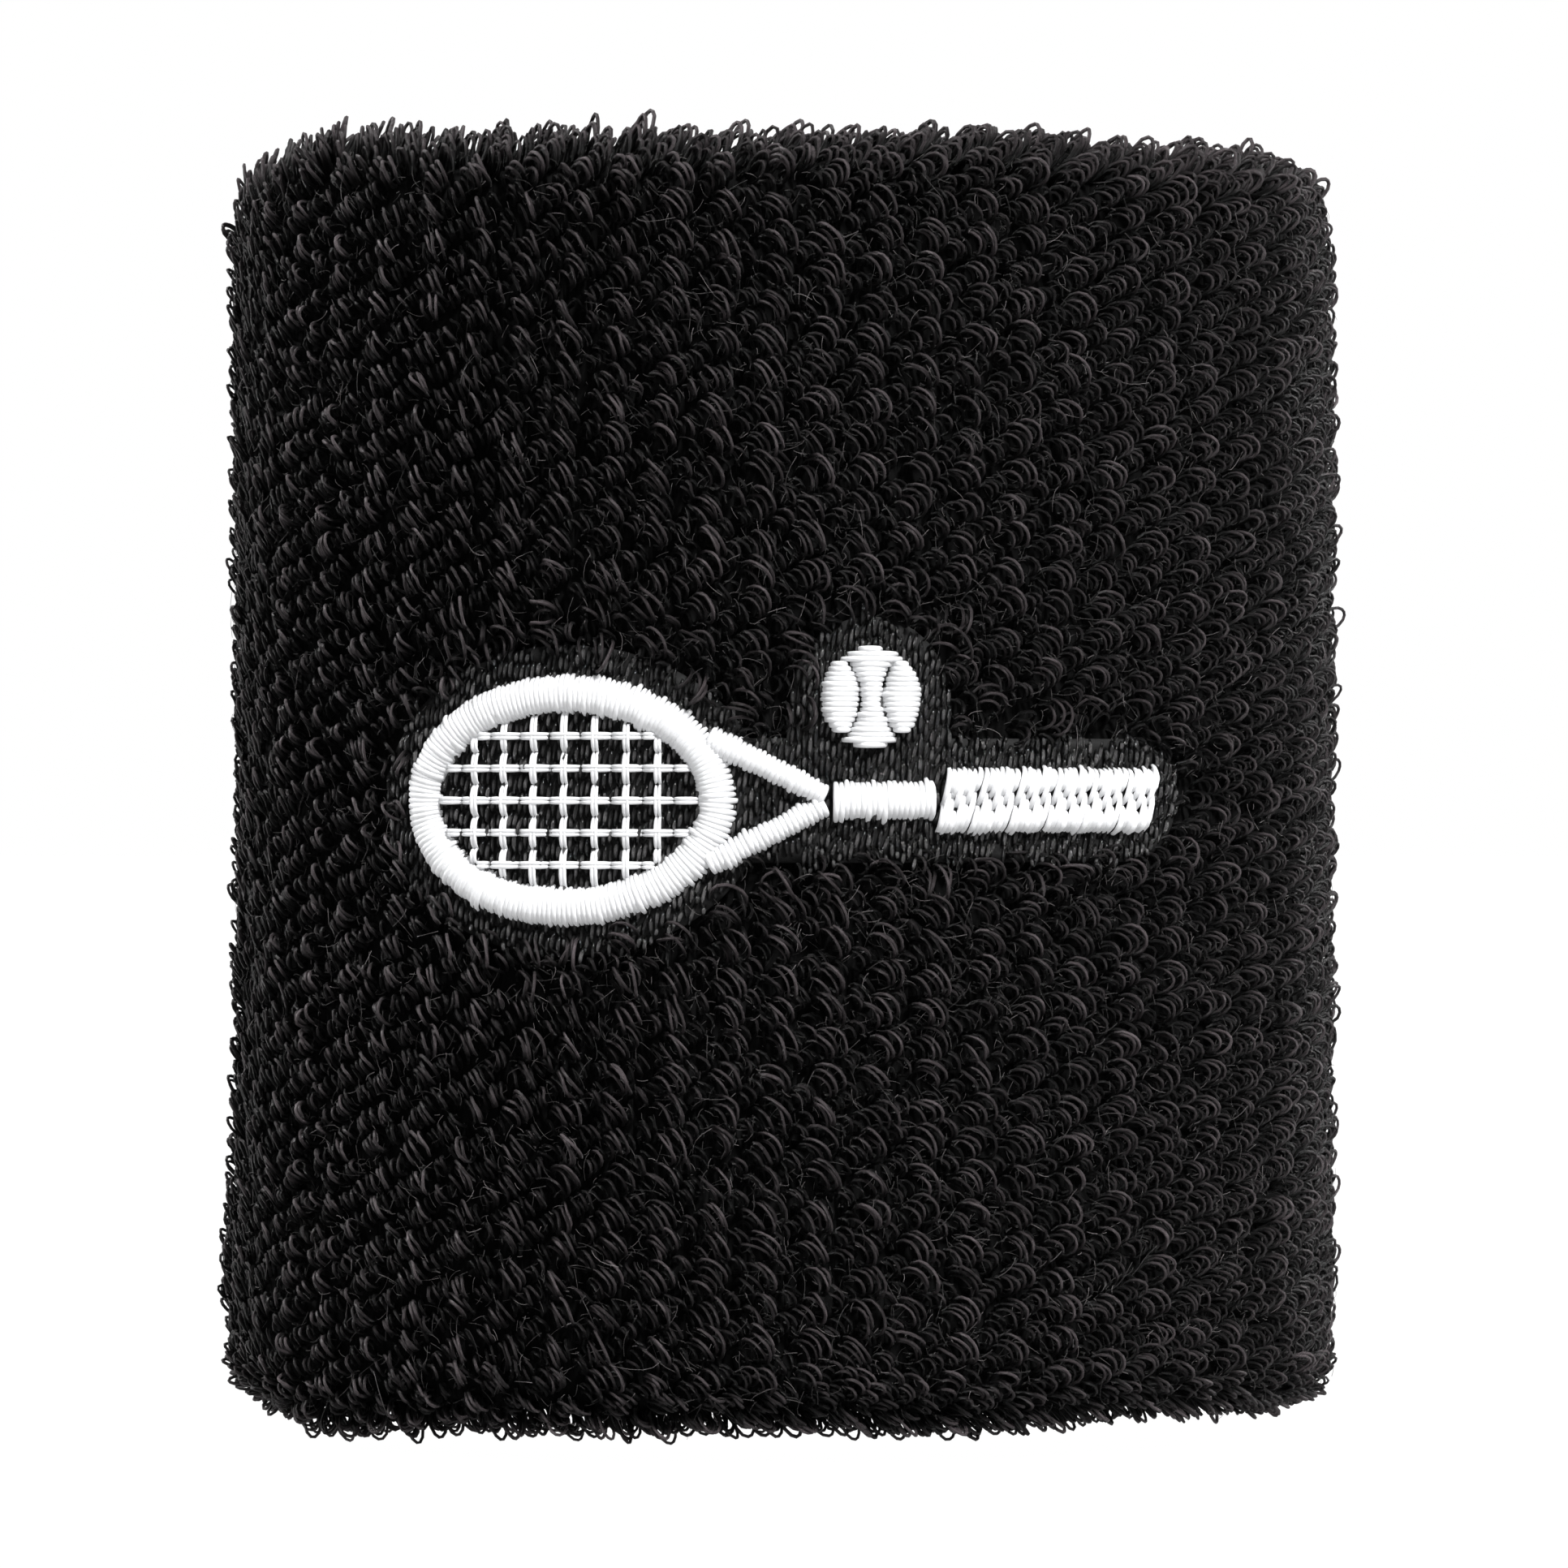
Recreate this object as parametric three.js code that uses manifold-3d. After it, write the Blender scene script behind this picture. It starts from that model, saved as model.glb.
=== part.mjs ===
// A sweat wristband: one terry tube folded over on itself, with what is laid, sewn and stitched into it.
// Millimetres, +Z along the wrist. The origin is under the middle of the lower rim, and the emblem faces -Y.
import * as THREE from "three";
import { mergeVertices } from "three/addons/utils/BufferGeometryUtils.js";
import Module from "manifold-3d";

const wasm = await Module();
wasm.setup();

// ---- Driving dimensions: the band ----
const bandHeight = 80;
const bandWidth = 71; // side to side, over the pile
const bandDepth = 46; // front to back, over the pile
const outerPly = 2.7; // ground knit and its pile, on the side that shows
const innerPly = 2.5; // the same cloth, turned in against the wrist
const restLand = 1.2; // the flat strip of a fold, which the band stands on
const endGap = 0.6; // between the tube's two raw ends, where the seam's thread passes

// ---- Driving dimensions: what the band holds ----
const elasticDiameter = 0.4;
const elasticPitch = 16;
const seamThread = 0.4; // thickness of the seam's flat side, inside the band
const seamFlange = 3; // its height
const seamRecess = 0.9; // how deep the seam's edge lies in the pile
const backingThickness = 0.3;
const backingMargin = 3.5; // of the stabiliser cloth round the stitched ground
const bobbinThickness = 0.25;
const seat = 0.15; // clearance between layers that lie on each other

// ---- Driving dimensions: the emblem, a racket and a ball ----
const emblemDrop = 1; // of the racket's long axis below the band's middle
const stitchesBelowPile = 0.35;
const figureThickness = 0.7;
const groundThickness = 0.5;
const groundMargin = 1.9; // of the black stitched ground round the figure
const recessClearance = 0.4; // between the ground's edge and the pile round it
const headLength = 21;
const headWidth = 15;
const frameWidth = 2.1;
const stringWidth = 0.5;
const stringPitch = 1.95;
const throatLength = 6.2;
const throatSpread = 5.6; // between the arms' middles, level with the head's end
const armWidth = 1.5;
const shaftLength = 6;
const shaftWidth = 2.1;
const gripLength = 14.4;
const gripWidth = 3.7;
const ballDiameter = 6;
const ballAlong = 8.4; // from the head's end to the ball's middle
const ballAcross = 6.2; // from the racket's axis to the ball's middle
const blockGap = 0.25; // between neighbouring blocks of stitches

// ---- How finely round shapes are stepped ----
const ovalSteps = 64;
const cornerSteps = 4;
const hollowEndSteps = 6;
const emblemStep = 1.5;
const outlineStep = 0.75; // along the stitched ground, whose outline is the most shaped
const headSteps = 48;
const ballSteps = 16;

// ---- Sizes that follow ----
const hollow = 2 * elasticDiameter + backingThickness + bobbinThickness + 5 * seat;
const wall = outerPly + hollow + innerPly;
const foldRadius = (wall - restLand) / 2;
const foldPly = (outerPly + innerPly) / 2;
const middle = bandHeight / 2;
const halfWidth = bandWidth / 2;
const halfDepth = bandDepth / 2;
const emblemHeight = middle - emblemDrop;

const figureTop = stitchesBelowPile;
const figureBottom = figureTop + figureThickness;
const groundTop = figureBottom + seat;
const groundBottom = groundTop + groundThickness;
const recessFloor = groundBottom + seat;
const backingTop = outerPly + 2 * seat + elasticDiameter;
const backingBottom = backingTop + backingThickness;
const bobbinTop = backingBottom + seat;
const bobbinBottom = bobbinTop + bobbinThickness;

const racketLength = headLength + throatLength + shaftLength + gripLength + 2 * blockGap;
const headEnd = headLength - racketLength / 2;
const headMiddle = headEnd - headLength / 2;
const throatEnd = headEnd + throatLength;
const shaftEnd = throatEnd + blockGap + shaftLength;
const gripEnd = shaftEnd + blockGap + gripLength;
const ballMiddle = headEnd + ballAlong;

// ---- Looks ----
const looks = {
  terry: new THREE.MeshStandardMaterial({ color: 0x17171a, roughness: 0.95, metalness: 0 }),
  elastic: new THREE.MeshStandardMaterial({ color: 0x3a3a3e, roughness: 0.7, metalness: 0 }),
  seam: new THREE.MeshStandardMaterial({ color: 0x222226, roughness: 0.8, metalness: 0 }),
  backing: new THREE.MeshStandardMaterial({ color: 0xe4e2dc, roughness: 0.95, metalness: 0 }),
  bobbin: new THREE.MeshStandardMaterial({ color: 0xd8d8d8, roughness: 0.7, metalness: 0 }),
  blackStitches: new THREE.MeshStandardMaterial({ color: 0x1c1c1f, roughness: 0.5, metalness: 0 }),
  whiteStitches: new THREE.MeshStandardMaterial({ color: 0xf4f5f7, roughness: 0.5, metalness: 0 }),
};

// ---- The oval that the band follows ----

// The point at angle t round the oval, the given depth inside the pile's outer face.
function ovalPoint(t, depth) {
  const normal = new THREE.Vector2(halfDepth * Math.cos(t), halfWidth * Math.sin(t)).normalize();
  return new THREE.Vector2(
    halfWidth * Math.cos(t) - depth * normal.x,
    halfDepth * Math.sin(t) - depth * normal.y,
  );
}

// Angles and arc lengths along the oval, from the middle of the front towards +X.
const front = -Math.PI / 2;
const arcs = [{ turn: 0, length: 0 }];
for (let i = 1, steps = 400; i <= steps; i++) {
  const turn = ((Math.PI / 2) * i) / steps;
  const before = arcs[i - 1];
  const from = ovalPoint(front + before.turn, 0);
  arcs.push({ turn, length: before.length + ovalPoint(front + turn, 0).distanceTo(from) });
}

// The angle of the point that lies this far along the oval from the middle of the front.
function angleAlong(distance) {
  const length = Math.abs(distance);
  const after = arcs.findIndex((arc) => arc.length >= length);
  if (after < 0) throw new Error("the emblem reaches round to the back of the band");
  if (after === 0) return front;
  const [low, high] = [arcs[after - 1], arcs[after]];
  const share = (length - low.length) / (high.length - low.length);
  return front + Math.sign(distance) * THREE.MathUtils.lerp(low.turn, high.turn, share);
}

// A point of the band from its angle, its depth and its height.
function onBand(t, depth, z) {
  const p = ovalPoint(t, depth);
  return new THREE.Vector3(p.x, p.y, z);
}

// A point of the emblem from its place along and across the racket, and its depth.
function onEmblem(along, across, depth) {
  return onBand(angleAlong(along), depth, emblemHeight + across);
}

// ---- Closed skins ----

// A skin over sections that each have the same number of points. A closed one joins its last section to its
// first, and an open one is capped, so its end sections are convex.
function skin(sections, closed) {
  const sides = sections[0].length;
  const index = [];
  const quad = (a, b, c, d) => index.push(a, b, c, a, c, d);
  for (let i = 0; i < (closed ? sections.length : sections.length - 1); i++) {
    const here = i * sides;
    const next = ((i + 1) % sections.length) * sides;
    for (let j = 0; j < sides; j++) {
      const k = (j + 1) % sides;
      quad(here + j, here + k, next + k, next + j);
    }
  }
  if (!closed) {
    const last = (sections.length - 1) * sides;
    for (let j = 1; j < sides - 1; j++) {
      index.push(0, j + 1, j);
      index.push(last, last + j, last + j + 1);
    }
  }
  const geometry = new THREE.BufferGeometry().setFromPoints(sections.flat());
  return facingOut(geometry.setIndex(index));
}

// The geometry with its faces turned, if they point into the body.
function facingOut(geometry) {
  const at = geometry.getAttribute("position");
  const index = geometry.getIndex().array;
  const [a, b, c] = [new THREE.Vector3(), new THREE.Vector3(), new THREE.Vector3()];
  let volume = 0;
  for (let i = 0; i < index.length; i += 3) {
    a.fromBufferAttribute(at, index[i]);
    b.fromBufferAttribute(at, index[i + 1]);
    c.fromBufferAttribute(at, index[i + 2]);
    volume += a.dot(b.cross(c));
  }
  if (volume < 0) {
    for (let i = 0; i < index.length; i += 3) {
      [index[i + 1], index[i + 2]] = [index[i + 2], index[i + 1]];
    }
  }
  return geometry;
}

// A ring round the whole band, from an outline of [depth, height] points.
function bandRing(outline) {
  const sections = [];
  for (let i = 0; i < ovalSteps; i++) {
    const t = front + (2 * Math.PI * i) / ovalSteps;
    sections.push(outline.map(([depth, z]) => onBand(t, depth, z)));
  }
  return skin(sections, true);
}

// The four corners of a stitched strip between two points of the emblem, from one depth to another.
function stripSection([alongA, acrossA], [alongB, acrossB], top, bottom) {
  return [
    onEmblem(alongA, acrossA, top),
    onEmblem(alongB, acrossB, top),
    onEmblem(alongB, acrossB, bottom),
    onEmblem(alongA, acrossA, bottom),
  ];
}

// A patch from the places along the racket, and how low and high it reaches at each.
function patch(places, reach, top, bottom) {
  return skin(
    places.map((along) => {
      const [low, high] = reach(along);
      return stripSection([along, low], [along, high], top, bottom);
    }),
    false,
  );
}

// Evenly stepped places from one end to the other.
function evenPlaces(from, to, step) {
  const steps = Math.max(1, Math.ceil((to - from) / step));
  return Array.from({ length: steps + 1 }, (_, i) => from + ((to - from) * i) / steps);
}

// Places across a disc, closer together towards its ends, and short of them so that each end is an edge.
function discPlaces(centre, radius, steps) {
  const blunt = Math.PI / (2 * steps);
  return Array.from({ length: steps + 1 }, (_, i) => {
    const angle = blunt + ((Math.PI - 2 * blunt) * i) / steps;
    return centre - radius * Math.cos(angle);
  });
}

// Half the height of an ellipse at a place along it, or zero outside it.
function ellipseReach(along, centre, halfLength, halfHeight) {
  const share = (along - centre) / halfLength;
  return Math.abs(share) < 1 ? halfHeight * Math.sqrt(1 - share * share) : 0;
}

// ---- Joining and cutting ----

function solidOf(geometry) {
  const bare = new THREE.BufferGeometry();
  bare.setAttribute("position", geometry.getAttribute("position").clone());
  bare.setIndex(Array.from(geometry.getIndex().array));
  const merged = mergeVertices(bare, 1e-5);
  return new wasm.Manifold(
    new wasm.Mesh({
      numProp: 3,
      vertProperties: merged.getAttribute("position").array,
      triVerts: new Uint32Array(merged.getIndex().array),
    }),
  );
}

function geometryOf(solid) {
  const mesh = solid.getMesh();
  const geometry = new THREE.BufferGeometry();
  geometry.setAttribute("position", new THREE.BufferAttribute(mesh.vertProperties, 3));
  return geometry.setIndex(new THREE.BufferAttribute(mesh.triVerts, 1));
}

// ---- The terry tube ----

// Points of an arc round [depth, height], from one angle to another in quarter turns.
function arc(depth, z, radius, fromQuarter, toQuarter, steps) {
  return Array.from({ length: steps + 1 }, (_, i) => {
    const angle = (Math.PI / 2) * THREE.MathUtils.lerp(fromQuarter, toQuarter, i / steps);
    return [depth + radius * Math.cos(angle), z + radius * Math.sin(angle)];
  });
}

// The hollow between the plies ends in a half round inside each fold.
const hollowMiddle = outerPly + hollow / 2;
const hollowEnd = foldPly + hollow / 2;

// Up the outer ply, over the upper fold, down inside to one raw end, back through the hollow to the other raw
// end, and down round the lower fold.
function tubeOutline() {
  const inside = wall - innerPly;
  const upperEnd = middle + endGap / 2 + seat;
  const lowerEnd = middle - endGap / 2 - seat;
  const top = bandHeight - foldRadius;
  const inner = wall - foldRadius;
  return [
    ...arc(foldRadius, top, foldRadius, 2, 1, cornerSteps),
    ...arc(inner, top, foldRadius, 1, 0, cornerSteps),
    [wall, upperEnd],
    [inside, upperEnd],
    ...arc(hollowMiddle, bandHeight - hollowEnd, hollow / 2, 0, 2, hollowEndSteps),
    ...arc(hollowMiddle, hollowEnd, hollow / 2, 2, 4, hollowEndSteps),
    [inside, lowerEnd],
    [wall, lowerEnd],
    ...arc(inner, foldRadius, foldRadius, 0, -1, cornerSteps),
    ...arc(foldRadius, foldRadius, foldRadius, -1, -2, cornerSteps),
  ];
}

// The tube, pressed in where the emblem is stitched through it.
function terryTube() {
  const proud = 1; // how far the cutter reaches out of the pile
  const ground = groundPlaces();
  const places = [ground[0] - recessClearance, ...ground, ground.at(-1) + recessClearance];
  const reach = (along) => {
    const [low, high] = groundReach(THREE.MathUtils.clamp(along, ground[0], ground.at(-1)));
    return [low - recessClearance, high + recessClearance];
  };
  const cutter = patch(places, reach, -proud, recessFloor);
  return geometryOf(solidOf(bandRing(tubeOutline())).subtract(solidOf(cutter)));
}

// ---- The elastic yarn and the closing seam ----

// The depth and height of the elastic at a distance along its way through the hollow: from the upper raw end
// up the inner ply, down the outer ply, and up the inner ply again to the lower raw end.
const elasticRadius = elasticDiameter / 2;
const elasticTurn = hollow / 2 - seat - elasticRadius;
const elasticStart = middle + seamFlange / 2 + seat + elasticRadius;
const innerRun = bandHeight - hollowEnd - elasticStart;
const outerRun = bandHeight - 2 * hollowEnd;
const turnRun = Math.PI * elasticTurn;
const elasticRun = 2 * innerRun + 2 * turnRun + outerRun;

function elasticPlace(run) {
  if (run > elasticRun / 2) {
    const [depth, z] = elasticPlace(elasticRun - run);
    return [depth, bandHeight - z];
  }
  if (run < innerRun) return [hollowMiddle + elasticTurn, elasticStart + run];
  if (run < innerRun + turnRun) {
    const angle = (run - innerRun) / elasticTurn;
    const depth = hollowMiddle + elasticTurn * Math.cos(angle);
    return [depth, bandHeight - hollowEnd + elasticTurn * Math.sin(angle)];
  }
  return [hollowMiddle - elasticTurn, bandHeight - hollowEnd - (run - innerRun - turnRun)];
}

function elasticYarn() {
  const steps = Math.floor((elasticRun / elasticPitch) * ovalSteps);
  const sections = [];
  for (let i = 0; i <= steps; i++) {
    const t = front + (2 * Math.PI * i) / ovalSteps;
    const [depth, z] = elasticPlace((elasticPitch * i) / ovalSteps);
    sections.push([
      onBand(t, depth - elasticRadius, z),
      onBand(t, depth, z + elasticRadius),
      onBand(t, depth + elasticRadius, z),
      onBand(t, depth, z - elasticRadius),
    ]);
  }
  return skin(sections, false);
}

// A flat band of thread inside, with an edge that passes out between the raw ends.
function closingSeam() {
  const face = wall - innerPly - seat;
  return bandRing([
    [face - seamThread, middle - seamFlange / 2],
    [face - seamThread, middle + seamFlange / 2],
    [face, middle + seamFlange / 2],
    [face, middle + endGap / 2],
    [wall - seamRecess, middle + endGap / 2],
    [wall - seamRecess, middle - endGap / 2],
    [face, middle - endGap / 2],
    [face, middle - seamFlange / 2],
  ]);
}

// ---- The embroidery ----

// The throat's arms run straight from under the frame to where their middles meet, just short of the shaft.
const armStart = headEnd - frameWidth;
const armTip = throatEnd - armWidth / 2;
const armSlope = throatSpread / 2 / (armTip - headEnd);
const armSlant = (armWidth / 2) * Math.hypot(1, armSlope); // half an arm, measured straight across the racket

// How far the middle of an arm lies from the racket's axis.
function armReach(along) {
  return (armTip - along) * armSlope;
}

// The stitched ground: the outline of the racket and the ball, with a margin.
function groundReach(along) {
  const margin = groundMargin;
  const head = ellipseReach(along, headMiddle, headLength / 2 + margin, headWidth / 2 + margin);
  const ball = ellipseReach(along, ballMiddle, ballDiameter / 2 + margin, ballDiameter / 2 + margin);
  const endRound = gripWidth / 2 + margin;
  const beyond = Math.max(0, along - (gripEnd + margin - endRound));
  const handle = along > headMiddle ? Math.sqrt(Math.max(0, endRound ** 2 - beyond ** 2)) : 0;
  const arms = along > armStart && along < armTip ? armReach(along) + armSlant + margin : 0;
  const racket = Math.max(head, handle, arms);
  return [-racket, Math.max(racket, ball > 0 ? ballAcross + ball : 0)];
}

function groundPlaces() {
  const blunt = 0.05; // how far short of a round end's tip the last section lies
  const from = headMiddle - headLength / 2 - groundMargin + blunt;
  return evenPlaces(from, gripEnd + groundMargin - blunt, outlineStep);
}

function stitchedGround(top, bottom) {
  return patch(groundPlaces(), groundReach, top, bottom);
}

// The stabiliser cloth behind the stitches: an oblong with cut corners.
function embroideryBacking() {
  const margin = groundMargin + backingMargin;
  const cut = backingMargin;
  const from = -racketLength / 2 - margin;
  const to = racketLength / 2 + margin;
  const low = -headWidth / 2 - margin;
  const high = Math.max(headWidth / 2, ballAcross + ballDiameter / 2) + margin;
  const reach = (along) => {
    const trim = Math.max(0, cut - Math.min(along - from, to - along));
    return [low + trim, high - trim];
  };
  const places = [from, ...evenPlaces(from + cut, to - cut, emblemStep), to];
  return patch(places, reach, backingTop, backingBottom);
}

// A disc like the racket's head, to trim stitches by. It passes them by trimProud on both faces.
const trimProud = 0.5;

function headDisc(inset, top, bottom) {
  const [halfLength, halfHeight] = [headLength / 2 - inset, headWidth / 2 - inset];
  const reach = (along) => {
    const half = ellipseReach(along, headMiddle, halfLength, halfHeight);
    return [-half, half];
  };
  return patch(discPlaces(headMiddle, halfLength, headSteps / 2), reach, top, bottom);
}

// The racket's frame is one closed satin column.
function racketFrame() {
  const sections = [];
  for (let i = 0; i < headSteps; i++) {
    const t = (2 * Math.PI * i) / headSteps;
    const edge = (inset) => [
      headMiddle + (headLength / 2 - inset) * Math.cos(t),
      (headWidth / 2 - inset) * Math.sin(t),
    ];
    sections.push(stripSection(edge(0), edge(frameWidth), figureTop, figureBottom));
  }
  return skin(sections, true);
}

// Running stitches along and across the head, joined where they cross, and cut to the frame's inside.
function racketStrings() {
  const [halfLength, halfHeight] = [headLength / 2 - frameWidth, headWidth / 2 - frameWidth];
  const lines = (half) => {
    const count = Math.floor((half - stringWidth) / stringPitch);
    return Array.from({ length: 2 * count + 1 }, (_, i) => (i - count) * stringPitch);
  };
  const crossPlaces = lines(halfLength).map((line) => headMiddle + line);
  const edges = crossPlaces.flatMap((along) => [along - stringWidth / 2, along + stringWidth / 2]);
  const strip = (places, low, high) => solidOf(patch(places, () => [low, high], figureTop, figureBottom));
  const ends = [headMiddle - halfLength, ...edges, headMiddle + halfLength];
  const mains = lines(halfHeight).map((line) => strip(ends, line - stringWidth / 2, line + stringWidth / 2));
  const crosses = crossPlaces.map((along) =>
    strip([along - stringWidth / 2, along + stringWidth / 2], -halfHeight, halfHeight),
  );
  const net = [...mains, ...crosses].reduce((joined, next) => joined.add(next));
  const disc = headDisc(frameWidth + blockGap, figureTop - trimProud, figureBottom + trimProud);
  return geometryOf(net.intersect(solidOf(disc)));
}

// Two satin arms from the head, which meet at the shaft.
function racketThroat() {
  const places = evenPlaces(armStart, armTip - armWidth, emblemStep);
  const arm = (side) => (along) => {
    const [inner, outer] = [armReach(along) - armSlant, armReach(along) + armSlant];
    return stripSection([along, side * inner], [along, side * outer], figureTop, figureBottom);
  };
  const crotch = armTip - armSlant / armSlope; // where the arms' inner edges meet
  const joint = stripSection([crotch, 0], [throatEnd, 0], figureTop, figureBottom);
  const upper = places.filter((along) => along < crotch).map(arm(1));
  const lower = places.filter((along) => along < crotch).map(arm(-1));
  const arms = solidOf(skin([...upper, joint, ...lower.reverse()], false));
  const disc = headDisc(-blockGap, figureTop - trimProud, figureBottom + trimProud);
  return geometryOf(arms.subtract(solidOf(disc)));
}

function racketBar(from, to, width) {
  const reach = () => [-width / 2, width / 2];
  return patch(evenPlaces(from, to, emblemStep), reach, figureTop, figureBottom);
}

function ball() {
  const radius = ballDiameter / 2;
  const reach = (along) => {
    const half = ellipseReach(along, ballMiddle, radius, radius);
    return [ballAcross - half, ballAcross + half];
  };
  return patch(discPlaces(ballMiddle, radius, ballSteps), reach, figureTop, figureBottom);
}

// ---- The assembly ----
const group = new THREE.Group();

function add(name, geometry, material) {
  const mesh = new THREE.Mesh(geometry, material);
  mesh.name = name;
  group.add(mesh);
}

add("terry_tube", terryTube(), looks.terry);
add("elastic_yarn", elasticYarn(), looks.elastic);
add("closing_seam", closingSeam(), looks.seam);
add("embroidery_backing", embroideryBacking(), looks.backing);
add("bobbin_stitches", stitchedGround(bobbinTop, bobbinBottom), looks.bobbin);
add("ground_stitches", stitchedGround(groundTop, groundBottom), looks.blackStitches);
add("racket_frame", racketFrame(), looks.whiteStitches);
add("racket_strings", racketStrings(), looks.whiteStitches);
add("racket_throat", racketThroat(), looks.whiteStitches);
add("racket_shaft", racketBar(throatEnd + blockGap, shaftEnd, shaftWidth), looks.whiteStitches);
add("racket_grip", racketBar(shaftEnd + blockGap, gripEnd, gripWidth), looks.whiteStitches);
add("ball", ball(), looks.whiteStitches);

export default group;
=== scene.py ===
# %% [markdown]
# # A sweat wristband, loop by loop
# The band is a knitted terry tube, turned in on itself so that both rims are folds. What a person sees is
# yarn: thousands of cotton loops, and an emblem stitched through them. This lesson builds the cloth, every
# loop and every stitch as real geometry on the frame that the CAD model gives, and leaves to the materials
# only what is finer than a thread.

import math

import bpy
import numpy as np
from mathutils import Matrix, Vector


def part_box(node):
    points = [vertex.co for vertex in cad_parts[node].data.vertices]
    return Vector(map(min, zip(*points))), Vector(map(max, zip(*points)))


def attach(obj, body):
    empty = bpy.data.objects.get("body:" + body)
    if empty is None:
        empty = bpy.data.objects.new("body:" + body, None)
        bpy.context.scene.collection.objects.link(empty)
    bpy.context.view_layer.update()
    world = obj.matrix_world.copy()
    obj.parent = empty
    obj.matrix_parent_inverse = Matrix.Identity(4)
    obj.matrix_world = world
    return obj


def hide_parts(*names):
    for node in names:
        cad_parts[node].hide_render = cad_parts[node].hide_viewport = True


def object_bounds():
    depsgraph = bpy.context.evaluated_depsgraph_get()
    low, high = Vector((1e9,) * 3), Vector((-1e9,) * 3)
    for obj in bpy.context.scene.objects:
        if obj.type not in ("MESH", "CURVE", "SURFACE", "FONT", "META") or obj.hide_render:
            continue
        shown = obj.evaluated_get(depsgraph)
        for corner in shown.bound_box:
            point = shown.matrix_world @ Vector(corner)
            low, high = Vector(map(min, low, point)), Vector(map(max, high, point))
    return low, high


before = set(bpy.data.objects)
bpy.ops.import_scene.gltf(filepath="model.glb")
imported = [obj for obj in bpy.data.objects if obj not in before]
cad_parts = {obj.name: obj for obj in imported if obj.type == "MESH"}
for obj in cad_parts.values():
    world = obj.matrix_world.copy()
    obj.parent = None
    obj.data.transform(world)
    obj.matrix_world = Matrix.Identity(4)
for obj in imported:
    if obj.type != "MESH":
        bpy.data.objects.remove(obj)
cad_low, cad_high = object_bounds()
MM = 0.001
print("CAD box in mm:", [round((h - l) / MM, 2) for l, h in zip(cad_low, cad_high)])

# %% [markdown]
# ## Camera
# A small thing sold by its looks is best seen from far back with a long lens, level with the middle of the
# band, so that the two rims bow by the same small amount, one up and one down.

# %% Camera
camera_distance = 380 * MM
camera_lens = 136.5
nearest_seen = 0.01
farthest_seen = 20
camera_data = bpy.data.cameras.new("camera")
camera_data.lens = camera_lens
camera_data.clip_start = nearest_seen
camera_data.clip_end = farthest_seen
camera = bpy.data.objects.new("camera", camera_data)
camera.location = (0, -camera_distance, (cad_low.z + cad_high.z) / 2)
camera.rotation_euler = (math.pi / 2, 0, 0)
bpy.context.scene.collection.objects.link(camera)
bpy.context.scene.camera = camera

# %% [markdown]
# ## Node helpers
# Every material here is a small tree of nodes. The helpers set a node's inputs by name: a plain number goes
# straight onto the socket, and another node's output is linked to it.


# %% Node helpers
def give(tree, socket, value):
    if isinstance(value, bpy.types.NodeSocket):
        tree.links.new(value, socket)
    else:
        socket.default_value = value


def feed(tree, node, **inputs):
    """Gives a node its inputs by name, with _ in place of spaces."""
    for name, value in inputs.items():
        give(tree, node.inputs[name.replace("_", " ")], value)
    return node


def new_node(tree, kind, **inputs):
    return feed(tree, tree.nodes.new("ShaderNode" + kind), **inputs)


def grey(value):
    return (value, value, value, 1)


def new_material(name):
    material = bpy.data.materials.new(name)
    material.use_nodes = True
    return material, material.node_tree, material.node_tree.nodes["Principled BSDF"]

# %% [markdown]
# ## Studio
# Black cloth on a white ground needs a bright ground and deep shadow at once. The air round the band is
# seen as white but sheds little light, so that none falls between the loops from the front. A large soft
# light high on the right models the loops. Weaker ones stand on the left, overhead and behind each side, to
# draw the edges. All are far away, so that the light is the same all over. The floor is a light table, lit
# from below, which swallows the shadow, and it lies just under the lowest loops. It too is seen whiter than
# it shines, or it would light the lower rim too strongly. The view transform is the plain one, so white
# stays white.


# %% Studio
def far_light(name, turn, height, strength, softness):
    """A soft light far off: its turn to the right of the camera, its height and its spread, in degrees."""
    data = bpy.data.lights.new(name, "SUN")
    data.energy = strength
    data.angle = math.radians(softness)
    light = bpy.data.objects.new(name, data)
    turn, rise = math.radians(turn), math.radians(height)
    towards = (math.cos(rise) * math.sin(turn), -math.cos(rise) * math.cos(turn), math.sin(rise))
    light.rotation_euler = Vector(towards).to_track_quat("Z", "Y").to_euler()
    bpy.context.scene.collection.objects.link(light)


far_light("key_light", turn=38, height=46, strength=5.15, softness=14)
far_light("left_light", turn=-50, height=22, strength=0.25, softness=30)
far_light("top_light", turn=10, height=84, strength=1.3, softness=30)
far_light("right_edge_light", turn=116, height=20, strength=2.3, softness=25)
far_light("left_edge_light", turn=-112, height=24, strength=3.8, softness=25)

seen_strength = 1.0
air_strength = 0.02
table_strength = 0.65


def white_when_seen(tree, shed):
    """A strength that is white to the camera, while the light that is shed on the band is another."""
    path = new_node(tree, "LightPath")
    strength = new_node(tree, "MapRange", Value=path.outputs["Is Camera Ray"], To_Min=shed,
                        To_Max=seen_strength)
    return strength.outputs[0]


world = bpy.data.worlds.new("studio")
world.use_nodes = True
air = world.node_tree
feed(air, air.nodes["Background"], Color=grey(1), Strength=white_when_seen(air, air_strength))
bpy.context.scene.world = world
bpy.context.scene.view_settings.view_transform = "Standard"

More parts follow.
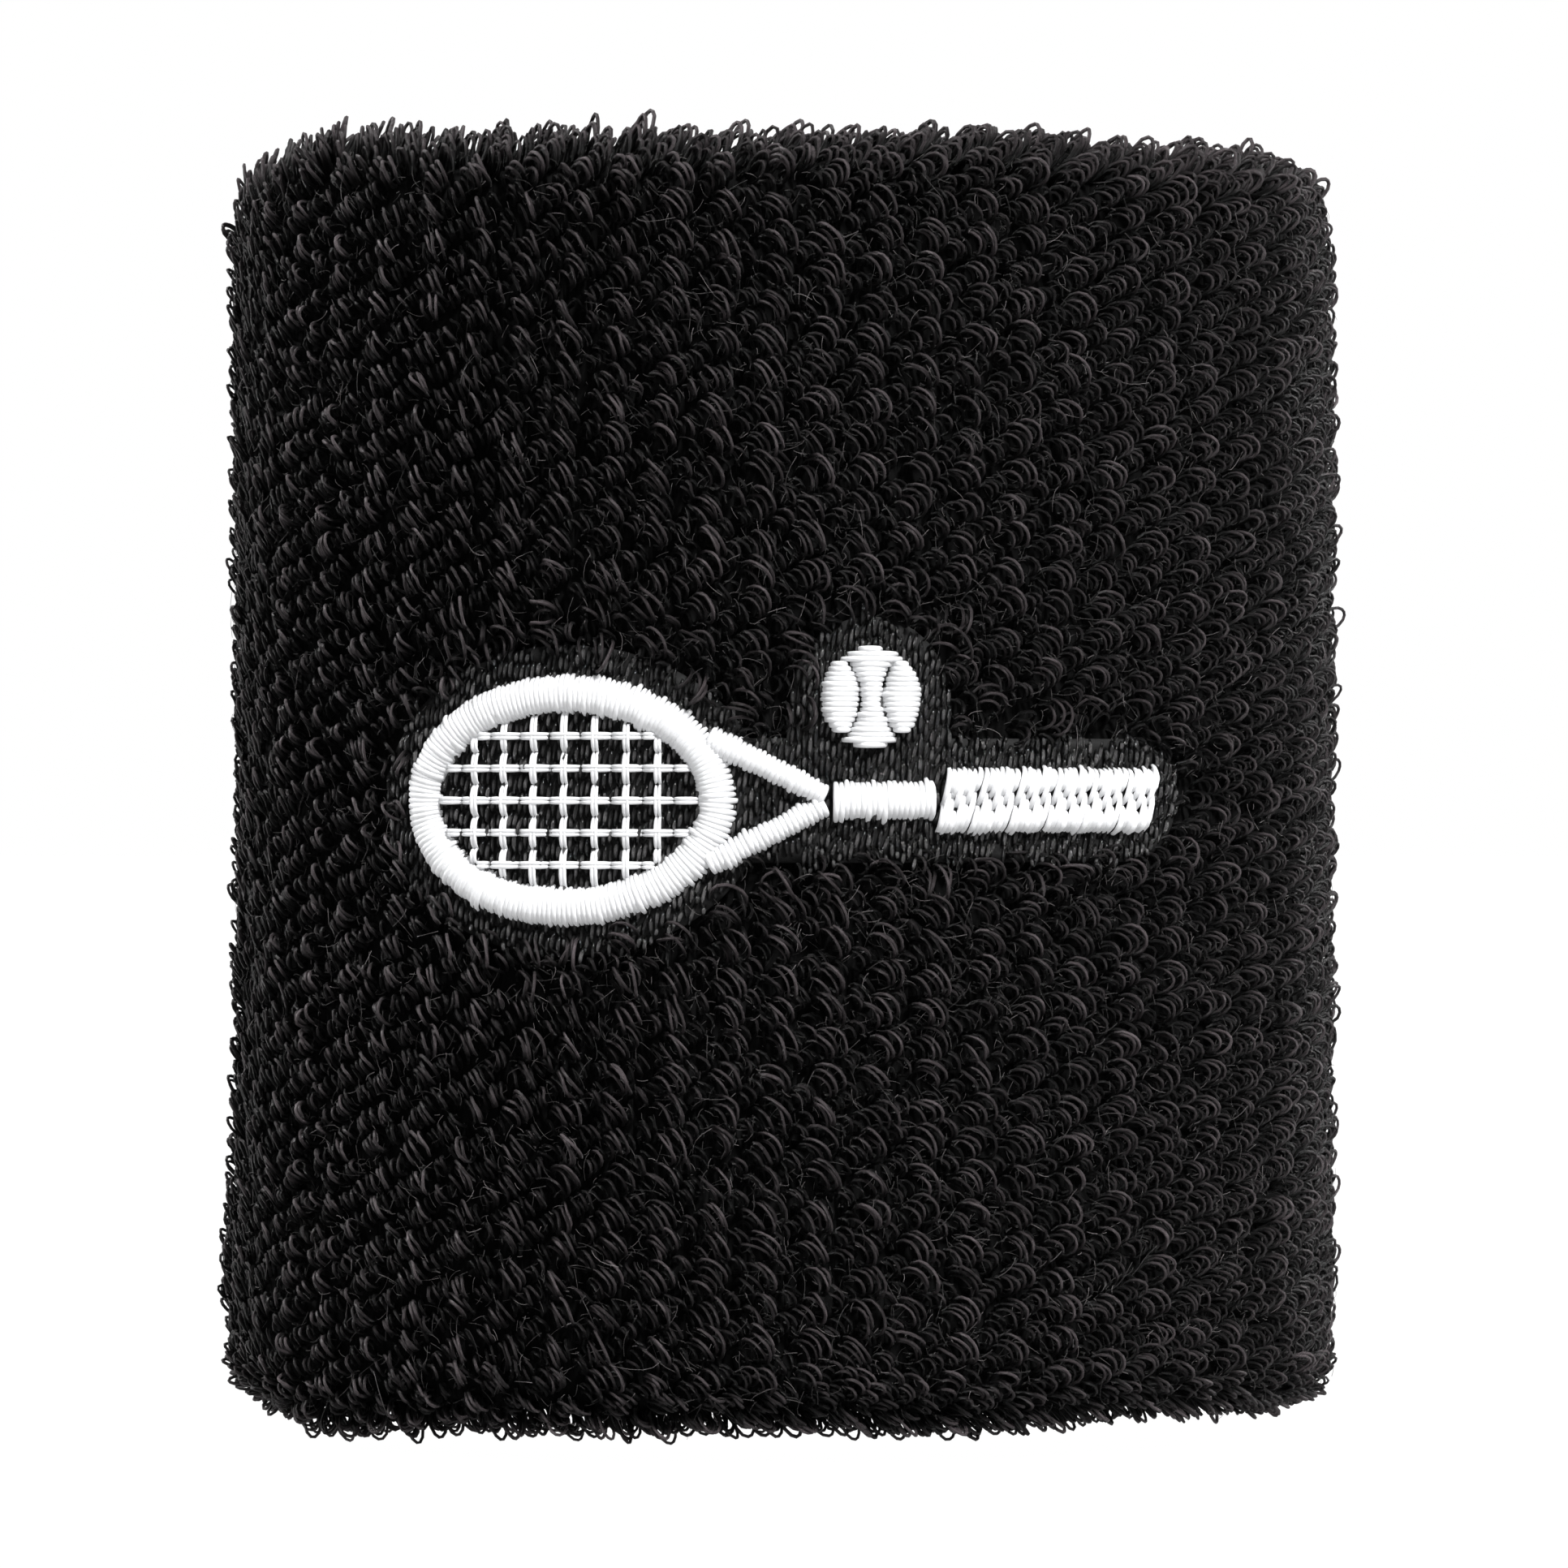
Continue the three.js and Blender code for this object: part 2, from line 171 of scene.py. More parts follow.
# %% The light table
floor_half = 3.0
floor_drop = -1.2 * MM
table_shade = 0.02
table_roughness = 0.9
floor_mesh = bpy.data.meshes.new("floor")
floor_signs = ((-1, -1), (1, -1), (1, 1), (-1, 1))
floor_corners = [(x * floor_half, y * floor_half, floor_drop) for x, y in floor_signs]
floor_mesh.from_pydata(floor_corners, [], [(0, 1, 2, 3)])
floor = bpy.data.objects.new("floor", floor_mesh)
bpy.context.scene.collection.objects.link(floor)
floor_paint, floor_tree, floor_shader = new_material("light_table")
table_light = white_when_seen(floor_tree, table_strength)
feed(floor_tree, floor_shader, Base_Color=grey(table_shade), Roughness=table_roughness,
     Specular_IOR_Level=0.0, Emission_Color=grey(1), Emission_Strength=table_light)
floor_mesh.materials.append(floor_paint)

# %% [markdown]
# ## Sizes
# The outside comes from the frame: the height of the band, the two half axes of its oval, and the thickness
# of its doubled wall, which is how far the CAD tube reaches in from its side. What belongs to the yarn is
# named here.

# %% Sizes of the band
tube_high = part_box("terry_tube")[1]
half_width = tube_high.x
half_depth = tube_high.y
band_height = tube_high.z
side_slice = 0.05 * MM
tube_points = np.array([v.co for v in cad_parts["terry_tube"].data.vertices])
tube_side = tube_points[np.abs(tube_points[:, 1]) < side_slice]
wall = half_width - np.abs(tube_side[:, 0]).min()
middle = band_height / 2
pile_height = 1.8 * MM
knit_thickness = 0.7 * MM
fold_radius = wall / 2
base_radius = fold_radius - pile_height
straight_half = middle - fold_radius
print("wall", round(wall / MM, 2), "mm, cloth turns at a radius of", round(base_radius / MM, 2), "mm")

# %% [markdown]
# ## Places on the oval
# Everything on the band is placed by how far round the oval it is and how deep under the tips of the loops.
# A point is found on the outer oval and moved inwards along the normal, so that layers keep their distance.

# %% Places on the oval
FRONT = -math.pi / 2
oval_steps = 4001


def oval_normal(turn):
    normal = np.stack([half_depth * np.cos(turn), half_width * np.sin(turn)], -1)
    return normal / np.linalg.norm(normal, axis=-1, keepdims=True)


def oval_point(turn, depth):
    edge = np.stack([half_width * np.cos(turn), half_depth * np.sin(turn)], -1)
    return edge - np.asarray(depth)[..., None] * oval_normal(turn)


def way_along(points):
    """How far along a line each of its points is."""
    steps = np.linalg.norm(np.diff(points, axis=0), axis=1)
    return np.concatenate([[0], np.cumsum(steps)])


def lengths_at(depth):
    """Turns right round from the back, and how far each is from the middle of the front."""
    turns = FRONT + np.linspace(-math.pi, math.pi, oval_steps)
    lengths = way_along(oval_point(turns, np.full(turns.shape, depth)))
    return turns, lengths - lengths[-1] / 2


outer_turns, outer_lengths = lengths_at(0.0)
middle_turns, middle_lengths = lengths_at(wall / 2)
perimeter = 2 * middle_lengths[-1]


def turn_at(distance):
    """The turn at a distance from the middle of the front, along the middle of the wall."""
    return np.interp(distance, middle_lengths, middle_turns)


def along_at(turn):
    """The distance from the middle of the front, round the outside."""
    return np.interp(turn, outer_turns, outer_lengths)


print("round the outside", round(2 * outer_lengths[-1] / MM, 1), "mm, along the middle of the wall",
      round(perimeter / MM, 1), "mm")

# %% [markdown]
# ## The way of the cloth
# The cloth is one tube. Its reach is counted from half-way up the outside: up over the upper fold and down
# inside to the closing seam, and the other way round the lower fold. At each place it has three directions:
# round the band, up the cloth, and out of the cloth, which is where the loops stand. A real band has been
# pulled on and off, so its sides are not ruled straight. A few long waves, under a millimetre high, move
# the cloth and all that is on it.

# %% The shape that wear gave the band
long_wave, short_wave, waist, left_bulge, left_foot = 0.22, 0.16, 0.35, 0.15, 0.75  # heights, in mm
side_fill, side_pinch = 0.95, 0.20  # in mm
side_from, side_width = 0.80, 0.16  # of the share of the half width
rim_band = 0.09  # of the height
left_width = 0.5  # of the half width
rim_waves = ((0.30, 2, 0.6), (0.22, 5, 2.0), (0.14, 9, 0.0))  # height in mm, count, where each starts


def hill(value, centre, width):
    """A smooth hill, one high."""
    return np.exp(-(((value - centre) / width) ** 2))


def ramp(value, start, length):
    """Rises evenly from 0 to 1 over a length."""
    return np.clip((value - start) / length, 0, 1)


def slump(turn, z):
    """How far the cloth stands out of the plain oval, in metres."""
    share = z / band_height
    left = hill(np.cos(turn), -1, left_width)
    foot = hill(share, rim_band, rim_band)
    sway = waist * np.sin(math.pi * share) * np.cos(2 * turn + 0.4)
    waves = long_wave * np.sin(3 * turn + 5.0 * share) + short_wave * np.sin(5 * turn - 7.0 * share + 1.0)
    side = ramp(np.abs(np.cos(turn)), side_from, side_width)
    between_rims = ramp(np.minimum(share, 1 - share), 0, rim_band)
    side_push = side * (side_fill * between_rims - side_pinch)
    return (left_foot * left * foot + left_bulge * left - sway + waves + side_push) * MM


def rim_wave(turn):
    """How far the rims rise and fall round the band."""
    return sum(height * np.sin(count * turn + start) for height, count, start in rim_waves) * MM


# %% The way of the cloth
cloth_half = 2 * straight_half + math.pi * base_radius
UPWARD = np.array([0.0, 0.0, 1.0])


def flat_direction(x, y):
    return np.stack([x, y, np.zeros_like(x)], -1)


def with_height(flat, z):
    return np.concatenate([flat, z[..., None]], -1)


def cloth_place(turn, reach, rise=0.0):
    """The place at a turn and reach, rise above the knitted face, with its directions round, up and out."""
    side = np.sign(reach)
    far = np.abs(reach)
    angle = np.clip((far - straight_half) / base_radius, 0, math.pi)
    radius = base_radius + rise
    inside = np.maximum(0, far - straight_half - math.pi * base_radius)
    z = middle + side * (np.minimum(far, straight_half) + radius * np.sin(angle) - inside)
    out_of_middle = radius * np.cos(angle)
    normal = oval_normal(turn)
    flat = oval_point(turn, fold_radius - out_of_middle - slump(turn, z))
    to_rim = np.clip((far / straight_half - 0.5) * 2, 0, 1)
    place = with_height(flat, z + side * to_rim * rim_wave(turn))
    level = flat_direction(normal[..., 0], normal[..., 1])
    around = flat_direction(-normal[..., 1], normal[..., 0])
    cos, sin, side = np.cos(angle)[..., None], np.sin(angle)[..., None], side[..., None]
    out = cos * level + side * sin * UPWARD
    up = -side * sin * level + cos * UPWARD
    return place, around, up, out


def turned(around, up, angle):
    """Two directions in the cloth: one at an angle from round the band, and one square to it."""
    cos, sin = np.cos(angle)[:, None], np.sin(angle)[:, None]
    return cos * around + sin * up, cos * up - sin * around


def drawn_from(root, *parts):
    """Lines from their roots; each part is a direction and how far the line goes in it, step by step."""
    lines = root[:, None]
    for way, far in parts:
        lines = lines + way[:, None] * far[..., None]
    return lines


# %% [markdown]
# ## From points to meshes
# A loop, a stitch and a stray fibre are the same thing to a mesh: a thin tube along a line. One function
# makes thousands of them at once from arrays, which a Python loop over vertices could not do in the time.
# Each tube is capped, so that every strand is closed. A map called yarn holds the distance along the strand
# and the share of the way round it, for the twist. A second map gives each strand its own small cell, for
# baking.


# %% From points to meshes
def mesh_object(name, points, quads, caps, material):
    """A mesh of quads and, after them, of caps that all have the same number of corners."""
    corners = np.concatenate([quads.ravel(), caps.ravel()])
    totals = np.concatenate([np.full(len(quads), 4), np.full(len(caps), caps.shape[1])])
    starts = np.concatenate([[0], np.cumsum(totals)[:-1]])
    mesh = bpy.data.meshes.new(name)
    mesh.vertices.add(len(points))
    mesh.vertices.foreach_set("co", np.ascontiguousarray(points, np.float32).ravel())
    mesh.loops.add(len(corners))
    mesh.loops.foreach_set("vertex_index", np.ascontiguousarray(corners, np.int32))
    mesh.polygons.add(len(starts))
    mesh.polygons.foreach_set("loop_start", np.ascontiguousarray(starts, np.int32))
    mesh.polygons.foreach_set("loop_total", np.ascontiguousarray(totals, np.int32))
    mesh.polygons.foreach_set("use_smooth", np.ones(len(starts), bool))
    mesh.update(calc_edges=True)
    mesh.materials.append(material)
    obj = bpy.data.objects.new(name, mesh)
    bpy.context.scene.collection.objects.link(obj)
    return obj


def add_map(obj, name, places):
    layer = obj.data.uv_layers.new(name=name, do_init=False)
    layer.data.foreach_set("uv", np.ascontiguousarray(places, np.float32).ravel())


def add_values(obj, name, values):
    attribute = obj.data.attributes.new(name, "FLOAT", "POINT")
    attribute.data.foreach_set("value", np.ascontiguousarray(values, np.float32))


# %% Tubes along lines
tiny = 1e-12
cell_edge = 0.06


def unit(vectors):
    return vectors / np.maximum(np.linalg.norm(vectors, axis=-1, keepdims=True), tiny)


def strand_points(lines, across, half_wide, half_high, sides):
    count, steps, _ = lines.shape
    along = unit(np.gradient(lines, axis=1))
    across = unit(across - (across * along).sum(-1, keepdims=True) * along)
    out = np.cross(across, along)
    angle = np.arange(sides) * 2 * math.pi / sides
    wide = np.broadcast_to(half_wide, (count, steps))[..., None, None]
    high = np.broadcast_to(half_high, (count, steps))[..., None, None]
    ring = across[:, :, None] * np.cos(angle)[:, None] * wide
    ring = ring + out[:, :, None] * np.sin(angle)[:, None] * high
    return (lines[:, :, None] + ring).reshape(-1, 3)


def strand_faces(count, steps, sides):
    """The tubes' quads, and the caps at their starts and then at their ends."""
    first = np.arange(count)[:, None, None] * steps * sides
    here = first + np.arange(steps - 1)[None, :, None] * sides
    side = np.arange(sides)[None, None, :]
    following = (side + 1) % sides
    quads = np.stack([here + side, here + following, here + sides + following, here + sides + side], -1)
    start_caps = first[:, 0] + np.arange(sides)[::-1]
    end_caps = first[:, 0] + (steps - 1) * sides + np.arange(sides)
    return quads.reshape(-1, 4), np.concatenate([start_caps, end_caps])


def strand_maps(lines, sides):
    """For each corner: how far along the strand and round it, and its place in the strand's own cell."""
    count, steps, _ = lines.shape
    step_lengths = np.linalg.norm(np.diff(lines, axis=1), axis=-1)
    length = np.concatenate([np.zeros((count, 1)), np.cumsum(step_lengths, axis=1)], 1)
    side = np.arange(sides)[None, None, :]
    low, high = length[:, :-1, None] + 0 * side, length[:, 1:, None] + 0 * side
    left, right = side / sides + 0 * low, (side + 1) / sides + 0 * low
    corner_places = ((low, left), (low, right), (high, right), (high, left))
    quad_maps = np.stack([np.stack(place, -1) for place in corner_places], -2)
    cap_round = np.broadcast_to(np.arange(sides) / sides, (count, sides))
    start_maps = np.stack([np.broadcast_to(length[:, :1], (count, sides)), cap_round[:, ::-1]], -1)
    end_maps = np.stack([np.broadcast_to(length[:, -1:], (count, sides)), cap_round], -1)
    yarn = np.concatenate([quad_maps.reshape(-1, 2), start_maps.reshape(-1, 2), end_maps.reshape(-1, 2)])

    cells = math.ceil(math.sqrt(count))
    quad_owner = np.repeat(np.arange(count), (steps - 1) * sides * 4)
    owner = np.concatenate([quad_owner, np.tile(np.repeat(np.arange(count), sides), 2)])
    share = yarn[:, 0] / length[owner, -1]
    fit = np.stack([share, yarn[:, 1]], -1) * (1 - 2 * cell_edge) + cell_edge
    cell = np.stack([owner % cells, owner // cells], -1)
    return yarn / MM, (fit + cell) / cells


def strands(name, lines, across, half_wide, half_high, sides, material, shade, lift):
    """Tubes along lines (strand, step, xyz); across points sideways, radii and shade may vary by strand."""
    count, steps, _ = lines.shape
    points = strand_points(lines, across, half_wide, half_high, sides)
    quads, caps = strand_faces(count, steps, sides)
    obj = mesh_object(name, points, quads, caps, material)
    yarn, bake = strand_maps(lines, sides)
    add_map(obj, "yarn", yarn)
    add_map(obj, "OFBake", bake)
    add_values(obj, "strand_tone", np.repeat(np.broadcast_to(shade, (count,)), steps * sides))
    # strand_lift: how high each step stands, which the shader turns into painted shade at the low end.
    add_values(obj, "strand_lift", np.repeat(np.broadcast_to(lift, (count, steps)).reshape(-1), sides))
    return obj


def strand_triangles(count, steps, sides):
    return count * (2 * (steps - 1) * sides + 2 * (sides - 2))


def swept_quads(rings, ring_size, closed):
    """Quads between neighbouring rings of points; a closed sweep comes back to its first ring."""
    here = np.arange(rings if closed else rings - 1)[:, None] * ring_size
    there = (here + ring_size) % (rings * ring_size)
    low = np.arange(ring_size)[None]
    high = (low + 1) % ring_size
    return np.stack([here + low, there + low, there + high, here + high], -1).reshape(-1, 4)


# %% [markdown]
# ## Shared effects of the materials
# Cotton yarn and embroidery thread differ in colour and gloss, but the same effects make both: plies that
# wind round each other, with painted shade in the grooves between them, fibres that streak along the strand,
# and dye that took unevenly, with painted shade that darkens each strand towards its low end. Each effect is
# a node group with named inputs, so that each material sets its own values.


# %% Helpers for node groups
FULL_TURN = 2 * math.pi
FLOAT, COLOUR, VECTOR = "NodeSocketFloat", "NodeSocketColor", "NodeSocketVector"


def new_group(name, inputs, outputs):
    group = bpy.data.node_groups.new(name, "ShaderNodeTree")
    for socket_name, kind, value in inputs:
        socket = group.interface.new_socket(socket_name, in_out="INPUT", socket_type=kind)
        if value is not None:
            socket.default_value = value
    for socket_name, kind in outputs:
        group.interface.new_socket(socket_name, in_out="OUTPUT", socket_type=kind)
    return group, group.nodes.new("NodeGroupInput").outputs, group.nodes.new("NodeGroupOutput")


def maths(tree, operation, *values):
    node = tree.nodes.new("ShaderNodeMath")
    node.operation = operation
    for socket, value in zip(node.inputs, values):
        give(tree, socket, value)
    return node.outputs[0]


def attribute_value(tree, name):
    node = tree.nodes.new("ShaderNodeAttribute")
    node.attribute_name = name
    return node.outputs["Fac"]


def map_called(tree, name):
    node = tree.nodes.new("ShaderNodeUVMap")
    node.uv_map = name
    return node.outputs[0]


def mixed(tree, factor, first, second, way="MIX"):
    """A mix of two colours, where the factor says how much of the second."""
    node = tree.nodes.new("ShaderNodeMix")
    node.data_type = "RGBA"
    node.blend_type = way
    give(tree, node.inputs["Factor"], factor)
    give(tree, node.inputs[6], first)
    give(tree, node.inputs[7], second)
    return node.outputs[2]


def placed_group(tree, group, **values):
    node = tree.nodes.new("ShaderNodeGroup")
    node.node_tree = group
    return feed(tree, node, **values)


# %% Ply twist: plies that wind round the strand, and the grooves between them for painted shade
ply_twist, ply_in, ply_out = new_group(
    "ply_twist",
    [("Yarn Map", VECTOR, None), ("Plies", FLOAT, 2.0), ("Turns per mm", FLOAT, 0.6),
     ("Fibre Strength", FLOAT, 0.4)],
    [("Height", FLOAT), ("Groove", FLOAT), ("Streak", FLOAT)],
)
fibre_scale = 9.0
fibre_detail = 4.0
fibre_along = 0.35
fibre_round = 1.6
streak_from, streak_to = 0.36, 0.66
ply_map = new_node(ply_twist, "SeparateXYZ", Vector=ply_in["Yarn Map"])
ply_along = maths(ply_twist, "MULTIPLY", ply_map.outputs["X"], ply_in["Turns per mm"])
ply_phase = maths(ply_twist, "ADD", ply_map.outputs["Y"], ply_along)
ply_angle = maths(ply_twist, "MULTIPLY", ply_phase, ply_in["Plies"])
ply_wave = maths(ply_twist, "SINE", maths(ply_twist, "MULTIPLY", ply_angle, FULL_TURN))
ply_round = maths(ply_twist, "ABSOLUTE", ply_wave)
ply_x = maths(ply_twist, "MULTIPLY", ply_map.outputs["X"], fibre_along)
ply_y = maths(ply_twist, "MULTIPLY", ply_phase, fibre_round)
ply_place = new_node(ply_twist, "CombineXYZ", X=ply_x, Y=ply_y)
ply_noise = new_node(ply_twist, "TexNoise", Vector=ply_place.outputs[0], Scale=fibre_scale,
                     Detail=fibre_detail)
ply_fibres = maths(ply_twist, "MULTIPLY", ply_noise.outputs[0], ply_in["Fibre Strength"])
ply_streak = new_node(ply_twist, "MapRange", Value=ply_noise.outputs[0], From_Min=streak_from,
                      From_Max=streak_to)
feed(ply_twist, ply_out, Height=maths(ply_twist, "ADD", ply_round, ply_fibres),
     Groove=maths(ply_twist, "SUBTRACT", 1.0, ply_round), Streak=ply_streak.outputs[0])

# %% Uneven dye and painted root shade: slow drift over the cloth, a tone of its own for each strand, and painted shade towards each strand's low end
uneven_dye_and_root_shade, dye_in, dye_out = new_group(
    "uneven_dye_and_root_shade",
    [("Dark", COLOUR, None), ("Light", COLOUR, None), ("Drift Scale", FLOAT, 60.0),
     ("Strand Share", FLOAT, 0.6), ("Root Light", FLOAT, 1.0)],
    [("Color", COLOUR), ("Tone", FLOAT)],
)
drift_detail = 3.0
darkest_lift, unshaded_lift = 0.58, 1.16
dye_place = new_node(uneven_dye_and_root_shade, "TexCoord")
dye_noise = new_node(uneven_dye_and_root_shade, "TexNoise", Vector=dye_place.outputs["Object"], Scale=dye_in["Drift Scale"],
                     Detail=drift_detail)
dye_own = maths(uneven_dye_and_root_shade, "MULTIPLY", attribute_value(uneven_dye_and_root_shade, "strand_tone"), dye_in["Strand Share"])
dye_rest = maths(uneven_dye_and_root_shade, "SUBTRACT", 1.0, dye_in["Strand Share"])
dye_tone = maths(uneven_dye_and_root_shade, "ADD", dye_own, maths(uneven_dye_and_root_shade, "MULTIPLY", dye_noise.outputs[0], dye_rest))
dye_colour = mixed(uneven_dye_and_root_shade, dye_tone, dye_in["Dark"], dye_in["Light"])
# Painted shade: the colour darkens towards the roots of loops and the ends of stitches, down to Root Light at
# the lowest.
shade_lift = attribute_value(uneven_dye_and_root_shade, "strand_lift")
root_shade_ramp = new_node(uneven_dye_and_root_shade, "MapRange", Value=shade_lift, From_Min=darkest_lift, From_Max=unshaded_lift,
                    To_Min=dye_in["Root Light"])
root_shade_ramp.interpolation_type = "SMOOTHSTEP"
root_shaded_colour = uneven_dye_and_root_shade.nodes.new("ShaderNodeVectorMath")
root_shaded_colour.operation = "SCALE"
feed(uneven_dye_and_root_shade, root_shaded_colour, Vector=dye_colour, Scale=root_shade_ramp.outputs[0])
feed(uneven_dye_and_root_shade, dye_out, Color=root_shaded_colour.outputs[0], Tone=dye_tone)

# %% Knit: rows of V-shaped stitches, for the cloth between the loops
knit_face, knit_in, knit_out = new_group(
    "knit_face",
    [("Map", VECTOR, None), ("Wales", FLOAT, 112.0), ("Courses", FLOAT, 150.0)],
    [("Height", FLOAT)],
)
knit_slope = 1.4
knit_split = new_node(knit_face, "SeparateXYZ", Vector=knit_in["Map"])
knit_column = maths(knit_face, "MULTIPLY", knit_split.outputs["X"], knit_in["Wales"])
knit_row = maths(knit_face, "MULTIPLY", knit_split.outputs["Y"], knit_in["Courses"])
knit_fold = maths(knit_face, "PINGPONG", knit_column, 0.5)
knit_slant = maths(knit_face, "ADD", knit_row, maths(knit_face, "MULTIPLY", knit_fold, knit_slope))
knit_wave = maths(knit_face, "SINE", maths(knit_face, "MULTIPLY", knit_slant, FULL_TURN))
knit_ridge = maths(knit_face, "SINE", maths(knit_face, "MULTIPLY", knit_fold, FULL_TURN))
feed(knit_face, knit_out,
     Height=maths(knit_face, "MULTIPLY", maths(knit_face, "ADD", knit_wave, 1.0), knit_ridge))


# %% [markdown]
# ## Materials
# Cotton is matt. Its colour is painted nearly black as shade between the plies and at the roots of the loops,
# so it is paler only at the crests, and only the stray fibres have a sheen. Embroidery thread is polyester
# with flat-sided filaments, so it throws back long soft glints along the stitch; besides, a few black
# stitches are painted pale as painted glints. The white thread is given a faint painted glow, though it is no
# lamp, which lifts its shaded sides.


# %% Strand materials
thread_relief = 0.05 * MM


def strand_material(name, dark, light, plies, turns, fibre, bump, strand_share=0.6, shaded_root_level=1.0,
                    groove_shade=0.5, streaks=0.8, **finish):
    """Yarn or thread. groove_shade and streaks say how dark the painted shade in the ply grooves and the
    streaks are; the finish goes straight to the shader.
    """
    material, tree, shader = new_material(name)
    twist = placed_group(tree, ply_twist, Yarn_Map=map_called(tree, "yarn"), Plies=plies, Turns_per_mm=turns,
                         Fibre_Strength=fibre)
    dye = placed_group(tree, uneven_dye_and_root_shade, Dark=dark, Light=light, Strand_Share=strand_share,
                       Root_Light=shaded_root_level)
    # Painted shade in the grooves between the plies.
    groove_shaded = mixed(tree, twist.outputs["Groove"], dye.outputs["Color"], grey(groove_shade), "MULTIPLY")
    streaked = mixed(tree, twist.outputs["Streak"], groove_shaded, grey(streaks), "MULTIPLY")
    relief = new_node(tree, "Bump", Height=twist.outputs["Height"], Strength=bump, Distance=thread_relief)
    feed(tree, shader, Base_Color=streaked, Normal=relief.outputs[0], **finish)
    return material


# Black cotton: painted shade darkens its ply grooves to 0.12 and its loop roots to 0.01 of the colour, so the
# pale second colour shows only at the crests.
cotton_black = strand_material(
    "black_cotton_yarn", (0.012, 0.0100, 0.0105, 1), (0.445, 0.372, 0.395, 1), plies=2.0, turns=0.9,
    fibre=1.2, bump=1.0, shaded_root_level=0.01, strand_share=0.8, groove_shade=0.12, streaks=0.25, Roughness=0.46,
    Specular_IOR_Level=0.3, Sheen_Roughness=0.45)
fibre_black = strand_material(
    "stray_cotton_fibre", (0.02, 0.018, 0.018, 1), (0.30, 0.27, 0.275, 1), plies=1.0, turns=0.1, fibre=0.1,
    bump=0.1, strand_share=0.9, Roughness=0.6, Specular_IOR_Level=0.5, Sheen_Weight=0.2, Sheen_Roughness=0.4)
# Black thread: its pale second colour is painted glints on a few stitches, and its stitch ends get painted
# shade.
thread_black = strand_material(
    "black_embroidery_thread", (0.004, 0.0038, 0.0038, 1), (0.560, 0.545, 0.550, 1), plies=2.0, turns=0.8,
    fibre=1.0, bump=1.0, shaded_root_level=0.02, strand_share=0.9, groove_shade=0.25, streaks=0.3, Roughness=0.25,
    Specular_IOR_Level=0.5, Sheen_Roughness=0.3, Coat_Weight=0.35, Coat_Roughness=0.12)
# White thread: a faint painted glow, though it is no lamp, lifts its shaded sides, and its stitch ends get a
# little painted shade.
white_painted_glow = 0.14
thread_white = strand_material(
    "white_embroidery_thread", (0.88, 0.885, 0.90, 1), (0.95, 0.955, 0.97, 1), plies=2.0, turns=0.45,
    fibre=0.5, bump=0.22, shaded_root_level=0.7, groove_shade=0.94, streaks=0.97, Roughness=0.42, Specular_IOR_Level=0.5,
    Sheen_Weight=0.1, Sheen_Roughness=0.3, Emission_Color=(0.97, 0.98, 1.0, 1), Emission_Strength=white_painted_glow)

# %% Cloth, backing and the other materials of the CAD nodes
weave_relief = 0.1 * MM
weave_shine = 0.2
knit_relief = 0.2 * MM
knit_bump = 0.8


def plain_weave(name, dark, light, scale, bump, roughness):
    """A matt stuff with fine grain, for pieces that hold no strand map."""
    material, tree, shader = new_material(name)
    dye = placed_group(tree, uneven_dye_and_root_shade, Dark=dark, Light=light, Drift_Scale=scale, Strand_Share=0.0)
    relief = new_node(tree, "Bump", Height=dye.outputs["Tone"], Strength=bump, Distance=weave_relief)
    feed(tree, shader, Base_Color=dye.outputs["Color"], Normal=relief.outputs[0], Roughness=roughness,
         Specular_IOR_Level=weave_shine)
    return material


elastic_cover = plain_weave("elastic_cover", (0.03, 0.03, 0.032, 1), (0.08, 0.08, 0.085, 1), 3000, 0.5, 0.6)
backing_cloth = plain_weave("non_woven_backing", (0.55, 0.54, 0.51, 1), (0.8, 0.79, 0.76, 1), 1200, 0.7, 0.9)
bobbin_cover = plain_weave("bobbin_thread", grey(0.5), grey(0.8), 2500, 0.6, 0.6)
pad_black = plain_weave("pressed_black_threads", grey(0.004), grey(0.012), 2500, 0.6, 0.7)

knit_black, knit_tree, knit_shader = new_material("black_knit_ground")
knit = placed_group(knit_tree, knit_face, Map=map_called(knit_tree, "OFBake"))
# The knit is painted near black, darker than the cotton of the loops: painted shade under the pile.
knit_shade_colour = placed_group(knit_tree, uneven_dye_and_root_shade, Dark=grey(0.001), Light=grey(0.004), Drift_Scale=300.0,
                        Strand_Share=0.0)
knit_rows = new_node(knit_tree, "Bump", Height=knit.outputs["Height"], Strength=knit_bump,
                     Distance=knit_relief)
feed(knit_tree, knit_shader, Base_Color=knit_shade_colour.outputs["Color"], Normal=knit_rows.outputs[0],
     Roughness=0.9, Specular_IOR_Level=0.1)

# %% [markdown]
# ## The knitted ground
# Under the loops is a thin knit that runs all the way: up the outside, over the fold and down inside to the
# seam, and the same below. It is one closed skin with two faces, swept round the oval, and its two raw ends
# face each other across the seam. The loops hide most of it, but it keeps light from shining through the
# band.

